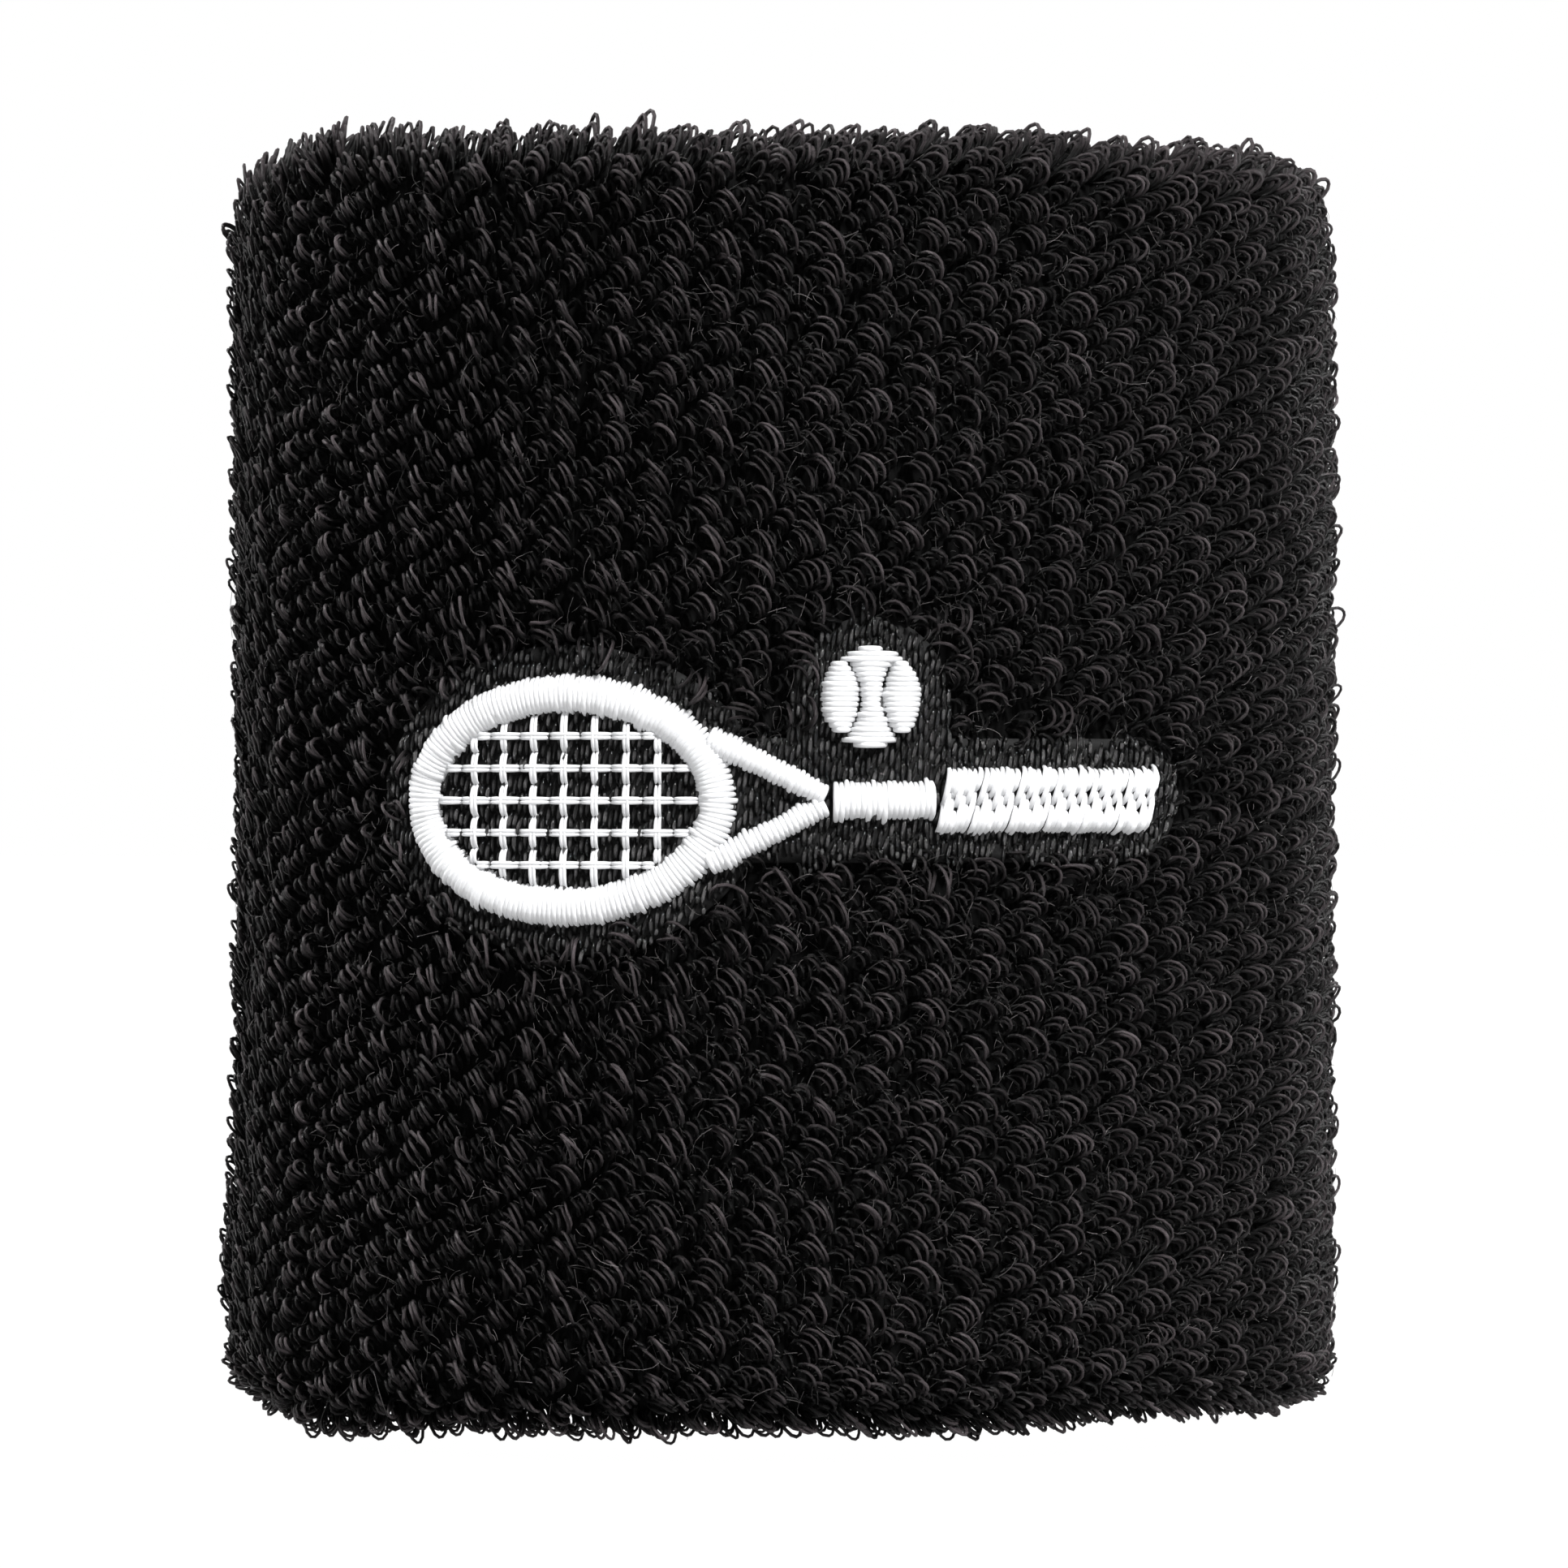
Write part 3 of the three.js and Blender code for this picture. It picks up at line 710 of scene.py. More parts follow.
# %% The knitted ground
seam_half_gap = 0.12 * MM
ground_turns = 224
ground_reaches = 150
reach_end = cloth_half - seam_half_gap
reach_steps = np.linspace(-reach_end, reach_end, ground_reaches)
turn_steps = turn_at(np.linspace(-0.5, 0.5, ground_turns, endpoint=False) * perimeter)
grid_turn, grid_reach = np.meshgrid(turn_steps, reach_steps, indexing="ij")
outer_face = cloth_place(grid_turn, grid_reach)[0]
inner_face = cloth_place(grid_turn, grid_reach, -knit_thickness)[0]
skin_points = np.concatenate([outer_face, inner_face[:, ::-1]], 1)
section = skin_points.shape[1]
ground_quads = swept_quads(ground_turns, section, closed=True)
no_caps = np.zeros((0, 4), int)
knit_ground = mesh_object("knit_ground", skin_points.reshape(-1, 3), ground_quads, no_caps, knit_black)
map_round, map_up = np.meshgrid(np.arange(ground_turns), np.arange(section), indexing="ij")
square = ((0, 0), (1, 0), (1, 1), (0, 1))
map_corners = [np.stack([map_round + right, map_up + above], -1) for right, above in square]
add_map(knit_ground, "OFBake", np.stack(map_corners, 2).reshape(-1, 2) / [ground_turns, section])
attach(knit_ground, "root")
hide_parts("terry_tube")

# %% [markdown]
# ## The closing seam
# Where the two raw ends of the cloth meet, half-way up the inside, a thread is wound round and round both
# edges, as an overlock machine does it. Each turn goes over the face of the knit and back on the hidden
# side, and lands a little further round the band. The loops on both sides of it are left out, so it lies in
# a shallow groove.

# %% The closing seam
seam_pitch = 0.85 * MM
seam_reach = 1.25 * MM
seam_yarn = 0.15 * MM
seam_steps = 16
seam_sides = 6
seam_squareness = 0.6
seam_wound = 0.97  # of a full turn


def squared(wave):
    """A wave with fuller shoulders, which makes a circle of it squarer."""
    return np.sign(wave) * np.abs(wave) ** seam_squareness


seam_turns = round(perimeter / seam_pitch)
seam_angle = np.linspace(0, FULL_TURN * seam_wound, seam_steps)
seam_out = (knit_thickness / 2 + seam_yarn) * squared(np.sin(seam_angle))
seam_number = np.arange(seam_turns)[:, None] + seam_angle / FULL_TURN
seam_turn = turn_at((seam_number / seam_turns % 1.0 - 0.5) * perimeter)
seam_z = middle + seam_reach * squared(np.cos(seam_angle)) + np.zeros_like(seam_turn)
seam_depth = wall - pile_height - knit_thickness / 2 + seam_out
seam_flat = oval_point(seam_turn, seam_depth - slump(seam_turn, seam_z))
seam_lines = with_height(seam_flat, seam_z)
seam_normal = oval_normal(seam_turn)
seam_across = flat_direction(-seam_normal[..., 1], seam_normal[..., 0])
seam_tone = np.random.default_rng(31).random(seam_turns)
seam_stitches = strands("seam_stitches", seam_lines, seam_across, seam_yarn, seam_yarn, seam_sides,
                        thread_black, seam_tone, 1.0)
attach(seam_stitches, "root")
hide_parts("closing_seam")
print("closing seam:", seam_turns, "turns of thread")

# %% [markdown]
# ## The emblem's outline
# The loops have to know where the emblem is, because there they are pressed flat under a field of black
# stitches. The racket lies level across the front. Its sizes are read from the CAD blocks: a block's ends
# are turned into distances along the oval.

# %% The emblem's outline
figure_top = 0.35 * MM
ground_top = 1.2 * MM
ground_margin = 1.9 * MM
frame_width = 2.1 * MM
block_gap = 0.25 * MM


def along_of(x):
    """The distance along the oval of a figure's end at this x."""
    near_front = np.abs(outer_turns - FRONT) < math.pi / 2
    xs = oval_point(outer_turns[near_front], np.full(near_front.sum(), figure_top))[:, 0]
    return float(np.interp(x, xs, outer_lengths[near_front]))


def extent_along(node):
    low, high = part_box(node)
    return along_of(low.x), along_of(high.x), low.z, high.z


head_from, head_to, head_low, head_high = extent_along("racket_frame")
head_middle = (head_from + head_to) / 2
head_half = (head_to - head_from) / 2
head_rise = (head_high - head_low) / 2
emblem_height = (head_low + head_high) / 2
throat_from, throat_to, throat_low, throat_high = extent_along("racket_throat")
shaft_from, shaft_to, shaft_low, shaft_high = extent_along("racket_shaft")
grip_from, grip_to, grip_low, grip_high = extent_along("racket_grip")
ball_from, ball_to, ball_low, ball_high = extent_along("ball")
ball_middle = (ball_from + ball_to) / 2
ball_radius = (ball_high - ball_low) / 2
ball_rise = (ball_high + ball_low) / 2 - emblem_height
shaft_half = (shaft_high - shaft_low) / 2
grip_half = (grip_high - grip_low) / 2
print("head", round(2 * head_half / MM, 1), "by", round(2 * head_rise / MM, 1), "mm, racket",
      round((grip_to - head_from) / MM, 1), "mm long")


def ellipse_reach(along, centre, half_long, half_high):
    share = (along - centre) / half_long
    return half_high * np.sqrt(np.clip(1 - share * share, 0, None))


def ground_reach(along, margin=ground_margin):
    """How low and how high the stitched ground reaches, from the racket's axis."""
    head = ellipse_reach(along, head_middle, head_half + margin, head_rise + margin)
    ball = ellipse_reach(along, ball_middle, ball_radius + margin, ball_radius + margin)
    end_round = grip_half + margin
    beyond = np.clip(along - (grip_to + margin - end_round), 0, None)
    handle = np.where(along > head_middle, np.sqrt(np.clip(end_round**2 - beyond**2, 0, None)), 0)
    racket = np.maximum(head, handle)
    return -racket, np.maximum(racket, np.where(ball > 0, ball_rise + ball, 0))


def on_emblem(along, across, depth):
    """Place and outward direction of points of the emblem, from metres along, across and under the pile."""
    turn = np.interp(along, outer_lengths, outer_turns)
    z = emblem_height + across
    flat = oval_point(turn, depth - slump(turn, z))
    normal = oval_normal(turn)
    return with_height(flat, z), flat_direction(normal[..., 0], normal[..., 1])


def inside_ground(along, across, margin):
    low, high = ground_reach(along, ground_margin + margin)
    return (across > low) & (across < high) & (high > 0)


# %% [markdown]
# ## The terry loops
# The pile yarn is knitted in with long loose loops. They come in tufts of two to four strands that lie side
# by side. Big tufts and small tufts take turns round the band, half a row apart. Washing and wearing lays
# them all over the same way: the loops lean up and to the right, and their two feet stand upper left and
# lower right. Seen from the front they are arcs; on the left they are seen edge on, and on the right they
# open into rings. A loop is most of a circle in a leaning plane. It is swept as a tube with five sides, or
# four inside the band.

# %% Tufts: where they stand
rng = np.random.default_rng(20)
tufts_round = 56
row_pitch = 2.03 * MM
wale_lean = 0.06
jitter_round, jitter_up = 0.04, 0.08  # of the space between tufts
seam_groove = 1.5 * MM
emblem_overhang = 0.35 * MM
rows = int((cloth_half - seam_groove) / row_pitch)


def in_emblem(turn, reach, margin):
    across = middle + reach - emblem_height
    return inside_ground(along_at(turn), across, margin) & (np.abs(reach) < straight_half)


def tuft_grid(offset_round, offset_up):
    """Turns and reaches of one kind of tuft, jittered, without those at the seam or under the emblem."""
    row, column = np.meshgrid(np.arange(-rows, rows + 1), np.arange(tufts_round), indexing="ij")
    reach = (row + offset_up + rng.normal(0, jitter_up, row.shape)) * row_pitch
    slide = wale_lean * reach / (perimeter / tufts_round)
    around = (column + offset_round + slide + rng.normal(0, jitter_round, row.shape)) / tufts_round
    turn = turn_at((around % 1.0 - 0.5) * perimeter).ravel()
    reach = reach.ravel()
    keep = (np.abs(reach) < cloth_half - seam_groove) & ~in_emblem(turn, reach, -emblem_overhang)
    return turn[keep], reach[keep]


# %% [markdown]
# Loops are not alike all over. Across the front they are broad arcs. At the sides, where the band is bent
# tightly, they are narrower and stand steeper, and along the very edge they lie right over. On the folds
# they stand up tall and close together. Next to the stitched ground the presser foot has pushed them about,
# so those lie any way they like and hang over its edge.


# %% How a tuft lies
fold_blend = 1.0 * MM
edge_from, edge_width = 0.86, 0.10  # of the share of the half width
left_slope = 1.4
left_squeeze, rim_squeeze = 0.14, 0.08
near_emblem = 2.0 * MM
chord_front, chord_side, chord_upper, chord_lower, chord_left_edge, chord_left_rim = -54, -12, -2, 10, 18, 24
lean_front, lean_left, lean_upper, lean_lower, lean_edge, lean_lower_edge = 33, -10, 4, 8, 34, -14
chord_spread, lean_spread = 6, 5  # degrees
radius_jitter, height_jitter = 0.07, 0.06
lower_rise = 0.3
chord_untidy, strand_untidy = 5.0, 2.5  # times as much, next to the emblem


def tuft_shape(turn, reach, kind):
    """How each tuft lies: its place on the band, the size of its loops, and the angles of chord and lean."""
    n = len(turn)
    far = np.abs(reach)
    side = np.abs(np.cos(turn)) ** 1.5
    fold = ramp(far, straight_half - fold_blend, 2 * fold_blend)
    fold *= ramp(-far, -(straight_half + math.pi * base_radius + fold_blend), 2 * fold_blend)
    upper, lower = fold * (reach > 0), fold * (reach < 0)
    near = in_emblem(turn, reach, near_emblem)
    edge = ramp(np.abs(np.cos(turn)), edge_from, edge_width)
    left = np.clip(-np.cos(turn), 0, 1)
    leftward = np.clip(-left_slope * np.cos(turn), 0, 1)
    squeeze = np.maximum(side, fold) * kind["narrowing"] + left_squeeze * left + rim_squeeze * upper
    radius = kind["radius"] * (1 - squeeze) * rng.normal(1, radius_jitter, n)
    taller = kind["fold_rise"] * (upper + lower_rise * lower) + kind["side_rise"] * side
    height = kind["height"] * (1 + taller) * rng.normal(1, height_jitter, n)
    chord = chord_front + chord_side * side + chord_upper * upper + chord_lower * lower
    chord = chord + chord_left_edge * (edge * (np.cos(turn) < 0)) + chord_left_rim * (upper * leftward)
    chord = chord + rng.normal(0, chord_spread, n) * np.where(near, chord_untidy, 1.0)
    lean = lean_front + lean_left * (leftward * (1 - edge)) + lean_upper * upper + lean_lower * lower
    lean = lean + (lean_edge + lean_lower_edge * lower) * edge + rng.normal(0, lean_spread, n)
    return side, fold, upper, near, radius, height, chord, lean


# %% Loops of a tuft
yarn_radius = 0.102 * MM
full_height = 1.9 * MM
foot_depth = 0.15 * MM
order_shrink, rim_closer, rim_thicker = 0.08, 0.25, 0.20
size_jitter, yarn_jitter, ring_wobble = 0.05, 0.08, 0.06
step_jitter, slide_jitter = 0.05 * MM, 0.08 * MM
bow_once, bow_thrice = 0.07 * MM, 0.03 * MM
foot_crowding = 1.15
loop_half_open = math.radians(150)


def loop_lines(turn, reach, kind, strands_per_tuft, steps):
    """The lines of all loops, (strand, step, xyz), the way across each plane, the lift and the radius."""
    side, fold, upper, near, radius, height, chord_angle, lean = tuft_shape(turn, reach, kind)
    tuft = np.repeat(np.arange(len(turn)), strands_per_tuft)
    order = np.tile(np.arange(strands_per_tuft), len(turn))
    scarce = kind["scarce"] * (1 - np.maximum(0.7 * side, fold))[tuft]
    last = order == strands_per_tuft - 1
    kept = ~(last & (rng.random(len(tuft)) < scarce))
    tuft, order = tuft[kept], order[kept]
    n = len(tuft)
    untidy = np.where(near, strand_untidy, 1.0)[tuft]
    place, around, up, out = cloth_place(turn[tuft], reach[tuft])
    chord_angle = np.radians(chord_angle[tuft] + rng.normal(0, chord_spread, n) * untidy)
    lean = np.radians(lean[tuft] + rng.normal(0, lean_spread, n) * untidy)
    chord, aside = turned(around, up, chord_angle)
    rise, _ = turned(out, aside, lean)
    plane = np.cross(chord, rise)
    smaller = 1 - order_shrink * order + rng.normal(0, size_jitter, n)
    loop_radius = radius[tuft] * smaller
    loop_height = height[tuft] * smaller
    spread = kind["spread"] * (1 - rim_closer * upper[tuft])
    step_back = (order - (strands_per_tuft - 1) / 2) * spread + rng.normal(0, step_jitter, n)
    shift = rng.normal(0, slide_jitter, n)
    root = place - step_back[:, None] * aside + shift[:, None] * chord
    share = np.linspace(-1, 1, steps)[None]
    angle = loop_half_open * np.sign(share) * np.abs(share) ** foot_crowding + np.zeros((n, 1))
    wobble = rng.normal(0, ring_wobble, (n, 1)) * np.sin(2 * angle)
    wide = (np.sin(angle) + wobble) * loop_radius[:, None]
    crest = (np.cos(angle) + 1) / 2
    tall = crest * loop_height[:, None] - foot_depth
    bow = rng.normal(0, bow_once, (n, 1)) * np.sin(angle)
    bow = bow + rng.normal(0, bow_thrice, (n, 1)) * np.sin(3 * angle)
    lines = drawn_from(root, (chord, wide), (rise, tall), (plane, bow))
    thick = yarn_radius * (1 + rim_thicker * upper[tuft] + rng.normal(0, yarn_jitter, n))
    # The lift is highest at the crest and sets the painted root shade.
    lift = crest * (loop_height / full_height)[:, None]
    return lines, np.broadcast_to(plane[:, None], lines.shape), lift, thick[:, None]


# %% Sweep the loops
piece_limit = 190000
outer_sides, inner_sides, inner_steps = 5, 4, 8
inside_share = 0.9
loop_count = 0


def add_loops(label, lines, across, lift, thick, sides, depth_shade):
    """Splits the loops into pieces that follow each other round the band."""
    per_piece = piece_limit // strand_triangles(1, lines.shape[1], sides)
    pieces = math.ceil(len(lines) / per_piece)
    for number, chosen in enumerate(np.array_split(np.arange(len(lines)), pieces), start=1):
        # Each strand gets a random tone, scaled down for shorter kinds of loop as painted shade deep in the
        # pile.
        tone = rng.beta(2, 2.5, len(chosen)) * depth_shade
        obj = strands(f"{label}_{number:02d}", lines[chosen], across[chosen], thick[chosen], thick[chosen],
                      sides, cotton_black, tone, lift[chosen])
        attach(obj, "root")
        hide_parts("terry_tube")
    print(label, len(lines), "loops in", pieces, "pieces")
    return len(lines)


def loops_of(label, kind):
    turn, reach = tuft_grid(kind["offset_round"], kind["offset_up"])
    order = np.argsort(turn)
    turn, reach = turn[order], reach[order]
    fold_half = math.pi / 2 * base_radius
    if kind["folds_only"]:
        on_fold = np.abs(np.abs(reach) - straight_half - fold_half) < fold_half
        turn, reach = turn[on_fold], reach[on_fold]
    outside = np.abs(reach) < straight_half + math.pi * base_radius * inside_share
    made = 0
    for where, chosen, count, steps, sides in (
        ("outer", outside, kind["strands"], kind["steps"], outer_sides),
        ("inner", ~outside, max(2, kind["strands"] - 1), inner_steps, inner_sides),
    ):
        if chosen.any():
            lines, across, lift, thick = loop_lines(turn[chosen], reach[chosen], kind, count, steps)
            made += add_loops(f"{label}_{where}", lines, across, lift, thick, sides, kind["tone"])
    return made


# The tone of each kind is painted shade: the shorter its loops, the deeper in the pile and the darker.
big = {"offset_round": 0.0, "offset_up": 0.0, "strands": 4, "radius": 1.06 * MM, "height": 2.20 * MM,
       "spread": 0.34 * MM, "narrowing": 0.38, "fold_rise": 0.18, "side_rise": 0.0, "scarce": 0.5,
       "steps": 12, "tone": 1.0, "folds_only": False}
small = big | {"offset_round": 0.5, "offset_up": 0.5, "strands": 3, "radius": 0.60 * MM, "height": 1.66 * MM,
               "spread": 0.32 * MM, "narrowing": 0.05, "fold_rise": 0.40, "side_rise": 0.15, "scarce": 0.8,
               "steps": 10, "tone": 0.72}
low_pile = small | {"offset_round": 0.25, "offset_up": 0.3, "strands": 2, "height": 1.30 * MM,
                    "spread": 0.45 * MM, "narrowing": 0.0, "fold_rise": 0.6, "side_rise": 0.25, "scarce": 0.0,
                    "steps": 8, "tone": 0.4}
fold_pile = small | {"offset_round": 0.75, "offset_up": 0.1, "strands": 4, "scarce": 0.0, "folds_only": True}
for label, kind in (
    ("big_loops", big),
    ("small_loops", small),
    ("low_loops", low_pile),
    ("low_loops_between", low_pile | {"offset_round": 0.75, "offset_up": 0.8}),
    ("fold_loops", fold_pile),
    ("fold_loops_between", fold_pile | {"offset_round": 0.25, "offset_up": 0.6}),
):
    loop_count += loops_of(label, kind)
print("terry loops in all:", loop_count)

# %% [markdown]
# ## Stray fibres
# Cotton is a short fibre, so every yarn sheds ends. They are far thinner than the yarn, a little lighter
# against the black, and stand off the loops in loose curls.


# %% Stray fibres
fibre_steps = 5
fibre_sides = 3
fibre_pieces, fibres_in_piece, fibre_seed = 4, 6000, 40
fibre_reach = straight_half + math.pi * base_radius * 0.35
fibre_least, fibre_most = 0.6, 1.35  # heights over the knit, in mm
fibre_thin, fibre_thick = 0.009 * MM, 0.016 * MM
length_shape, length_scale = 3.0, 0.21 * MM
fibre_curl, fibre_dip, fibre_rise, fibre_arch = 0.7, -0.2, 0.25, 2.4
# A fibre lift above one keeps the stray fibres clear of the painted root shade.
fibre_lift = 1.1


def stray_fibres(label, count, seed):
    draw = np.random.default_rng(seed)
    turn = turn_at((draw.random(count) - 0.5) * perimeter)
    reach = (draw.random(count) * 2 - 1) * fibre_reach
    clear = ~in_emblem(turn, reach, 0.0)
    turn, reach = turn[clear], reach[clear]
    n = len(turn)
    lying = 1 - 0.5 * ramp(np.abs(np.cos(turn)), side_from, side_width)
    place, around, up, out = cloth_place(turn, reach, draw.uniform(fibre_least, fibre_most, n) * lying * MM)
    forward, sideways = turned(around, up, draw.uniform(0, FULL_TURN, n))
    length = draw.gamma(length_shape, length_scale, n)[:, None]
    share = np.linspace(0, 1, fibre_steps)[None]
    curl = draw.normal(0, fibre_curl, (n, 1)) * length
    rise = draw.uniform(fibre_dip, fibre_rise, (n, 1)) * length
    lift_off = rise * np.sin(share * fibre_arch)
    lines = drawn_from(place, (forward, share * length), (sideways, curl * share**2), (out, lift_off))
    radius = draw.uniform(fibre_thin, fibre_thick, (n, 1))
    across = np.broadcast_to(sideways[:, None], lines.shape)
    tone = draw.random(n) ** 3
    obj = strands(label, lines, across, radius, radius, fibre_sides, fibre_black, tone, fibre_lift)
    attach(obj, "root")
    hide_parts("terry_tube")
    print(label, n)


for number in range(1, fibre_pieces + 1):
    stray_fibres(f"stray_fibres_{number}", fibres_in_piece, fibre_seed + number)

# %% [markdown]
# ## Stitches
# A stitch comes up through the cloth, crosses in a low bow and goes down again at the next needle hole. The
# tube is wider than high, because the tension flattens the filaments. The bow is steep at its ends and
# nearly level between them, which is what gives satin stitching its rounded, padded look.

# %% A stitch
stitch_shares = np.array([0.0, 0.05, 0.14, 0.32, 0.5, 0.68, 0.86, 0.95, 1.0])
stitch_sides = 6
hole_width = 0.72  # of the width between the holes


def stitch_piece(name, starts, ends, top, foot, half_wide, half_high, material, seed, loose=0.018 * MM,
                 roundness=4.0, glint_skew=1.0):
    """Stitches between pairs of emblem points (along, across); top and foot are depths under the pile."""
    draw = np.random.default_rng(seed)
    starts, ends = np.asarray(starts, float), np.asarray(ends, float)
    n = len(starts)
    share = stitch_shares[None, :, None]
    flat = starts[:, None] * (1 - share) + ends[:, None] * share
    bow = 1 - np.abs(2 * stitch_shares - 1) ** roundness
    top = np.broadcast_to(top, (n,))[:, None] + draw.normal(0, loose, (n, 1))
    depth = foot + (top - foot) * bow[None]
    place, out = on_emblem(flat[..., 0], flat[..., 1], depth)
    across = np.cross(out, unit(np.gradient(place, axis=1)))
    narrow = hole_width + (1 - hole_width) * bow[None]
    wide = half_wide * (1 + draw.normal(0, 0.05, (n, 1))) * narrow
    # A tone skewed by glint_skew: above one, only a few stitches get the pale colour, as painted glints.
    tone = draw.random(n) ** glint_skew
    # The bow is also the lift, so the shader paints shade where the stitch dips into its holes.
    obj = strands(name, place, across, wide, half_high * narrow, stitch_sides, material, tone, bow)
    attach(obj, "root")
    print(name, n, "stitches")
    return obj


# %% [markdown]
# ## The black stitched ground
# Rows of black stitches run up and down, leaning a little, each row shifted against the next so that the
# needle holes don't line up. They hold the pile down and give the white thread a firm edge.

# %% The black stitched ground
black_pitch = 0.36 * MM
black_length = 1.15 * MM
black_lean = 0.16
black_half_wide, black_half_high = 0.125 * MM, 0.150 * MM
shortest_row, shortest_black = 0.6 * MM, 0.35 * MM
ragged_row, ragged_hole, ragged_lean = 0.36, 0.12, 0.05  # in mm
black_top = ground_top - 0.22 * MM
black_foot = ground_top + 0.05 * MM
draw = np.random.default_rng(7)
ground_from = head_from - ground_margin
ground_to = grip_to + ground_margin
black_starts, black_ends = [], []
for along in np.arange(ground_from + black_pitch / 2, ground_to, black_pitch):
    low, high = ground_reach(along)
    if high - low < shortest_row:
        continue
    low = low - draw.normal(0, ragged_row) * MM
    high = high + draw.normal(0, ragged_row) * MM
    holes = np.arange(low - draw.random() * black_length, high, black_length)
    holes = np.clip(holes + draw.normal(0, ragged_hole, len(holes)) * MM, low, high)
    holes = np.concatenate([holes, [high]])
    for start, end in zip(holes[:-1], holes[1:]):
        if end - start > shortest_black:
            drift = black_lean * (end - start) / 2 + draw.normal(0, ragged_lean) * MM
            black_starts.append((along - drift, start))
            black_ends.append((along + drift, end))
# glint_skew makes a few black stitches pale: painted glints.
ground_rows = stitch_piece(
    "ground_stitch_rows", black_starts, black_ends, black_top, black_foot, black_half_wide, black_half_high,
    thread_black, 11, loose=0.09 * MM, roundness=2.2, glint_skew=1.9)
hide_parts("ground_stitches")

# %% The threads under the ground
pad_columns = 160
pad_rows = 14
pad_inset = 0.02 * MM
pad_thickness = 0.45 * MM
pad_along = np.linspace(ground_from + pad_inset, ground_to - pad_inset, pad_columns)
pad_low, pad_high = ground_reach(pad_along)
pad_across = pad_low[:, None] + np.linspace(0, 1, pad_rows) * (pad_high - pad_low)[:, None]
pad_faces = [
    on_emblem(np.repeat(pad_along[:, None], pad_rows, 1), pad_across, np.full(pad_across.shape, depth))[0]
    for depth in (ground_top, ground_top + pad_thickness)
]
pad_points = np.concatenate([pad_faces[0], pad_faces[1][:, ::-1]], 1).reshape(-1, 3)
pad_ring = np.arange(2 * pad_rows)
pad_caps = np.stack([pad_ring, (pad_columns - 1) * len(pad_ring) + pad_ring[::-1]])
pad_quads = swept_quads(pad_columns, len(pad_ring), closed=False)
ground_pad = mesh_object("ground_underlay", pad_points, pad_quads, pad_caps, pad_black)
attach(ground_pad, "root")
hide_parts("ground_stitches")

# %% [markdown]
# ## The white racket and ball
# A figure made only for this lesson: a racket and a ball, which could stand for any racket sport. Each part
# is stitched as an embroiderer would do it. The frame is a satin column round the head, with stitches
# straight across it. The strings are short running stitches, doubled. Throat and shaft are narrow satin
# columns. The grip is satin too, laid slantwise in bands as a grip is wrapped, and the ball is a level
# filling that stops short of two curved lines.

# %% White stitches: helpers
white_pitch = 0.33 * MM
white_half_wide = 0.20 * MM
white_half_high = 0.14 * MM
white_top = figure_top + 0.05 * MM
white_foot = ground_top - 0.10 * MM
ragged = 0.10 * MM
stitch_seed = 100


def white_piece(name, starts, ends, node, seed):
    draw = np.random.default_rng(seed)
    starts, ends = np.asarray(starts, float), np.asarray(ends, float)
    reach = unit(ends - starts)
    starts = starts - reach * np.abs(draw.normal(0, ragged, (len(starts), 1)))
    ends = ends + reach * np.abs(draw.normal(0, ragged, (len(starts), 1)))
    obj = stitch_piece(name, starts, ends, white_top, white_foot, white_half_wide, white_half_high,
                       thread_white, seed + stitch_seed)
    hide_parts(node)
    return obj


def satin_column(spine_from, spine_to, half_from, half_to, slant=0.0):
    """Starts and ends of stitches across a straight column from one emblem point to another."""
    spine_from, spine_to = np.array(spine_from), np.array(spine_to)
    length = np.linalg.norm(spine_to - spine_from)
    forward = (spine_to - spine_from) / length
    sideways = np.array([-forward[1], forward[0]])
    share = np.arange(white_pitch / 2, length, white_pitch)[:, None] / length
    spine = spine_from + share * (spine_to - spine_from)
    half = half_from + share * (half_to - half_from)
    tilt = sideways + slant * forward
    return spine - tilt * half, spine + tilt * half


# %% The racket's frame
frame_steps = 2000
round_closer = 0.92
spine_half, spine_rise = head_half - frame_width / 2, head_rise - frame_width / 2


def frame_spine(angle):
    return np.stack([head_middle + spine_half * np.cos(angle), spine_rise * np.sin(angle)], -1)


frame_angle = np.linspace(0, FULL_TURN, frame_steps)
frame_way = way_along(frame_spine(frame_angle))
frame_stitches = round(frame_way[-1] / (white_pitch * round_closer))
frame_at = np.interp(np.arange(frame_stitches) / frame_stitches * frame_way[-1], frame_way, frame_angle)
frame_normal = unit(np.stack([spine_rise * np.cos(frame_at), spine_half * np.sin(frame_at)], -1))
frame_out = frame_normal * frame_width / 2
frame_middle = frame_spine(frame_at)
white_piece("racket_frame_satin", frame_middle - frame_out, frame_middle + frame_out, "racket_frame", 1)

# %% The strings
string_pitch = 1.95 * MM
string_apart = 0.11 * MM
string_half_wide, string_half_high = 0.125 * MM, 0.11 * MM
string_top = figure_top + 0.30 * MM
shortest_end = 0.5 * MM
string_gap = block_gap * 0.2
string_inner_half = head_half - frame_width - string_gap
string_inner_rise = head_rise - frame_width - string_gap
string_starts, string_ends = [], []


def string_run(fixed, half, upright, offset):
    """Running stitches along one string, with holes half-way between the crossings."""
    crossings = math.floor(half / string_pitch + 0.5)
    between = (np.arange(-crossings, crossings + 1) - 0.5) * string_pitch
    holes = [-half, *between[np.abs(between) < half - shortest_end], half]
    for start, end in zip(holes[:-1], holes[1:]):
        for points, way in ((string_starts, start), (string_ends, end)):
            along, across = (fixed + offset, way) if upright else (way, fixed + offset)
            points.append((along + head_middle, across))


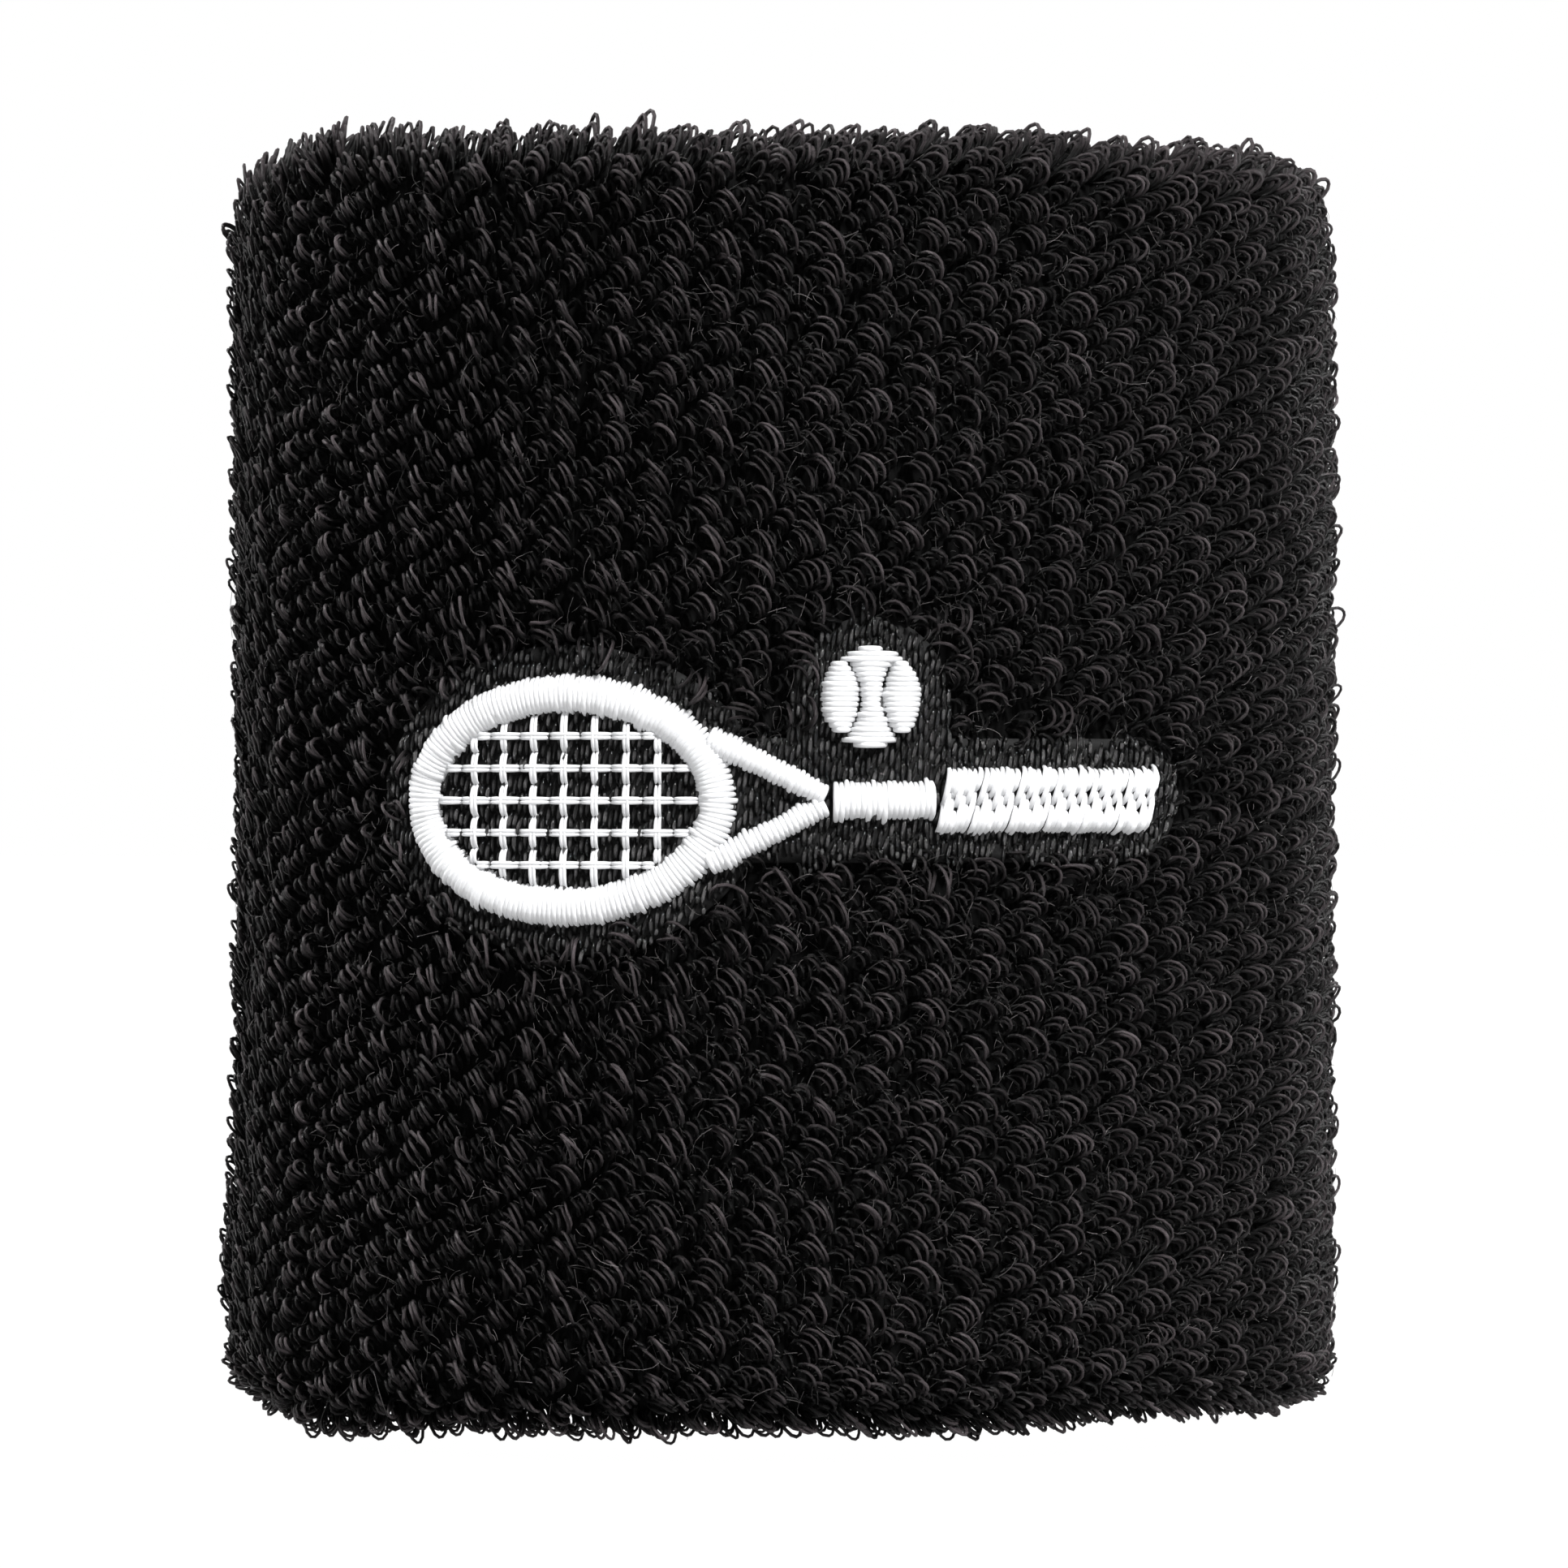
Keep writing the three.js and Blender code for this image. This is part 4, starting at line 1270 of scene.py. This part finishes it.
for upright, most in ((True, 3), (False, 2)):
    ends = (string_inner_half, string_inner_rise) if upright else (string_inner_rise, string_inner_half)
    for number in range(-most, most + 1):
        fixed = number * string_pitch
        for offset in (-string_apart, string_apart):
            string_run(fixed, ellipse_reach(fixed, 0.0, *ends), upright, offset)
strings = stitch_piece("racket_string_stitches", string_starts, string_ends, string_top, white_foot,
                       string_half_wide, string_half_high, thread_white, 21)
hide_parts("racket_strings")

# %% Throat and shaft
arm_half = 0.72 * MM
arm_taper = 0.8
column_overlap = 0.35 * MM
arm_join = throat_to - arm_half
arm_spread = (throat_high - throat_low) / 2 - arm_half * 1.15
arms = [satin_column((throat_from + column_overlap, side * arm_spread), (arm_join, side * column_overlap),
                     arm_half, arm_half * arm_taper) for side in (-1, 1)]
throat_starts, throat_ends = (np.concatenate(points) for points in zip(*arms))
white_piece("racket_throat_satin", throat_starts, throat_ends, "racket_throat", 2)

starts, ends = satin_column((shaft_from - column_overlap, 0.0), (shaft_to, 0.0), shaft_half, shaft_half)
white_piece("racket_shaft_satin", starts, ends, "racket_shaft", 3)

# %% The grip
grip_bands = 6
grip_slant = 0.30
grip_holes = (0.42, 0.66, 0.54, 0.34, 0.60)
band_gap = 0.16 * MM
band_length = (grip_to - grip_from) / grip_bands
grip_starts, grip_ends = [], []
for band in range(grip_bands):
    band_from = grip_from + band * band_length
    band_to = band_from + band_length - band_gap
    starts, ends = satin_column((band_from, 0.0), (band_to, 0.0), grip_half, grip_half, grip_slant)
    for points in (starts, ends):
        points[:, 0] = np.clip(points[:, 0], grip_from, grip_to)
    holes = starts + np.resize(grip_holes, len(starts))[:, None] * (ends - starts)
    grip_starts += [starts, holes]
    grip_ends += [holes, ends]
white_piece("racket_grip_satin", np.concatenate(grip_starts), np.concatenate(grip_ends), "racket_grip", 4)

# %% The ball
seam_gap = 0.30 * MM
seam_inmost, seam_curve = 0.22, 0.5  # of the ball's radius
shortest_side, shortest_white = 0.5 * MM, 0.4 * MM
ball_starts, ball_ends = [], []
for across in np.arange(-ball_radius + white_pitch / 2, ball_radius, white_pitch * round_closer):
    half = float(ellipse_reach(across, 0.0, ball_radius, ball_radius))
    seam = ball_radius * (seam_inmost + seam_curve * (across / ball_radius) ** 2)
    near_seam, past_seam = seam - seam_gap / 2, seam + seam_gap / 2
    cuts = [-half, half]
    if seam <= half - shortest_side:
        cuts = [-half, -past_seam, -near_seam, near_seam, past_seam, half]
    for start, end in zip(cuts[::2], cuts[1::2]):
        if end - start > shortest_white:
            ball_starts.append((ball_middle + start, ball_rise + across))
            ball_ends.append((ball_middle + end, ball_rise + across))
white_piece("ball_filling", ball_starts, ball_ends, "ball", 5)

# %% [markdown]
# ## Inside the wall
# The pieces between the plies keep their CAD shapes, because those are right: a round elastic yarn, a plate
# of backing cloth and a layer of bobbin thread. They get their own finishes, so that a section reads
# correctly.

# %% Inside the wall
for node, material in (
    ("elastic_yarn", elastic_cover),
    ("embroidery_backing", backing_cloth),
    ("bobbin_stitches", bobbin_cover),
):
    for material_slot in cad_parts[node].material_slots:
        material_slot.material = material
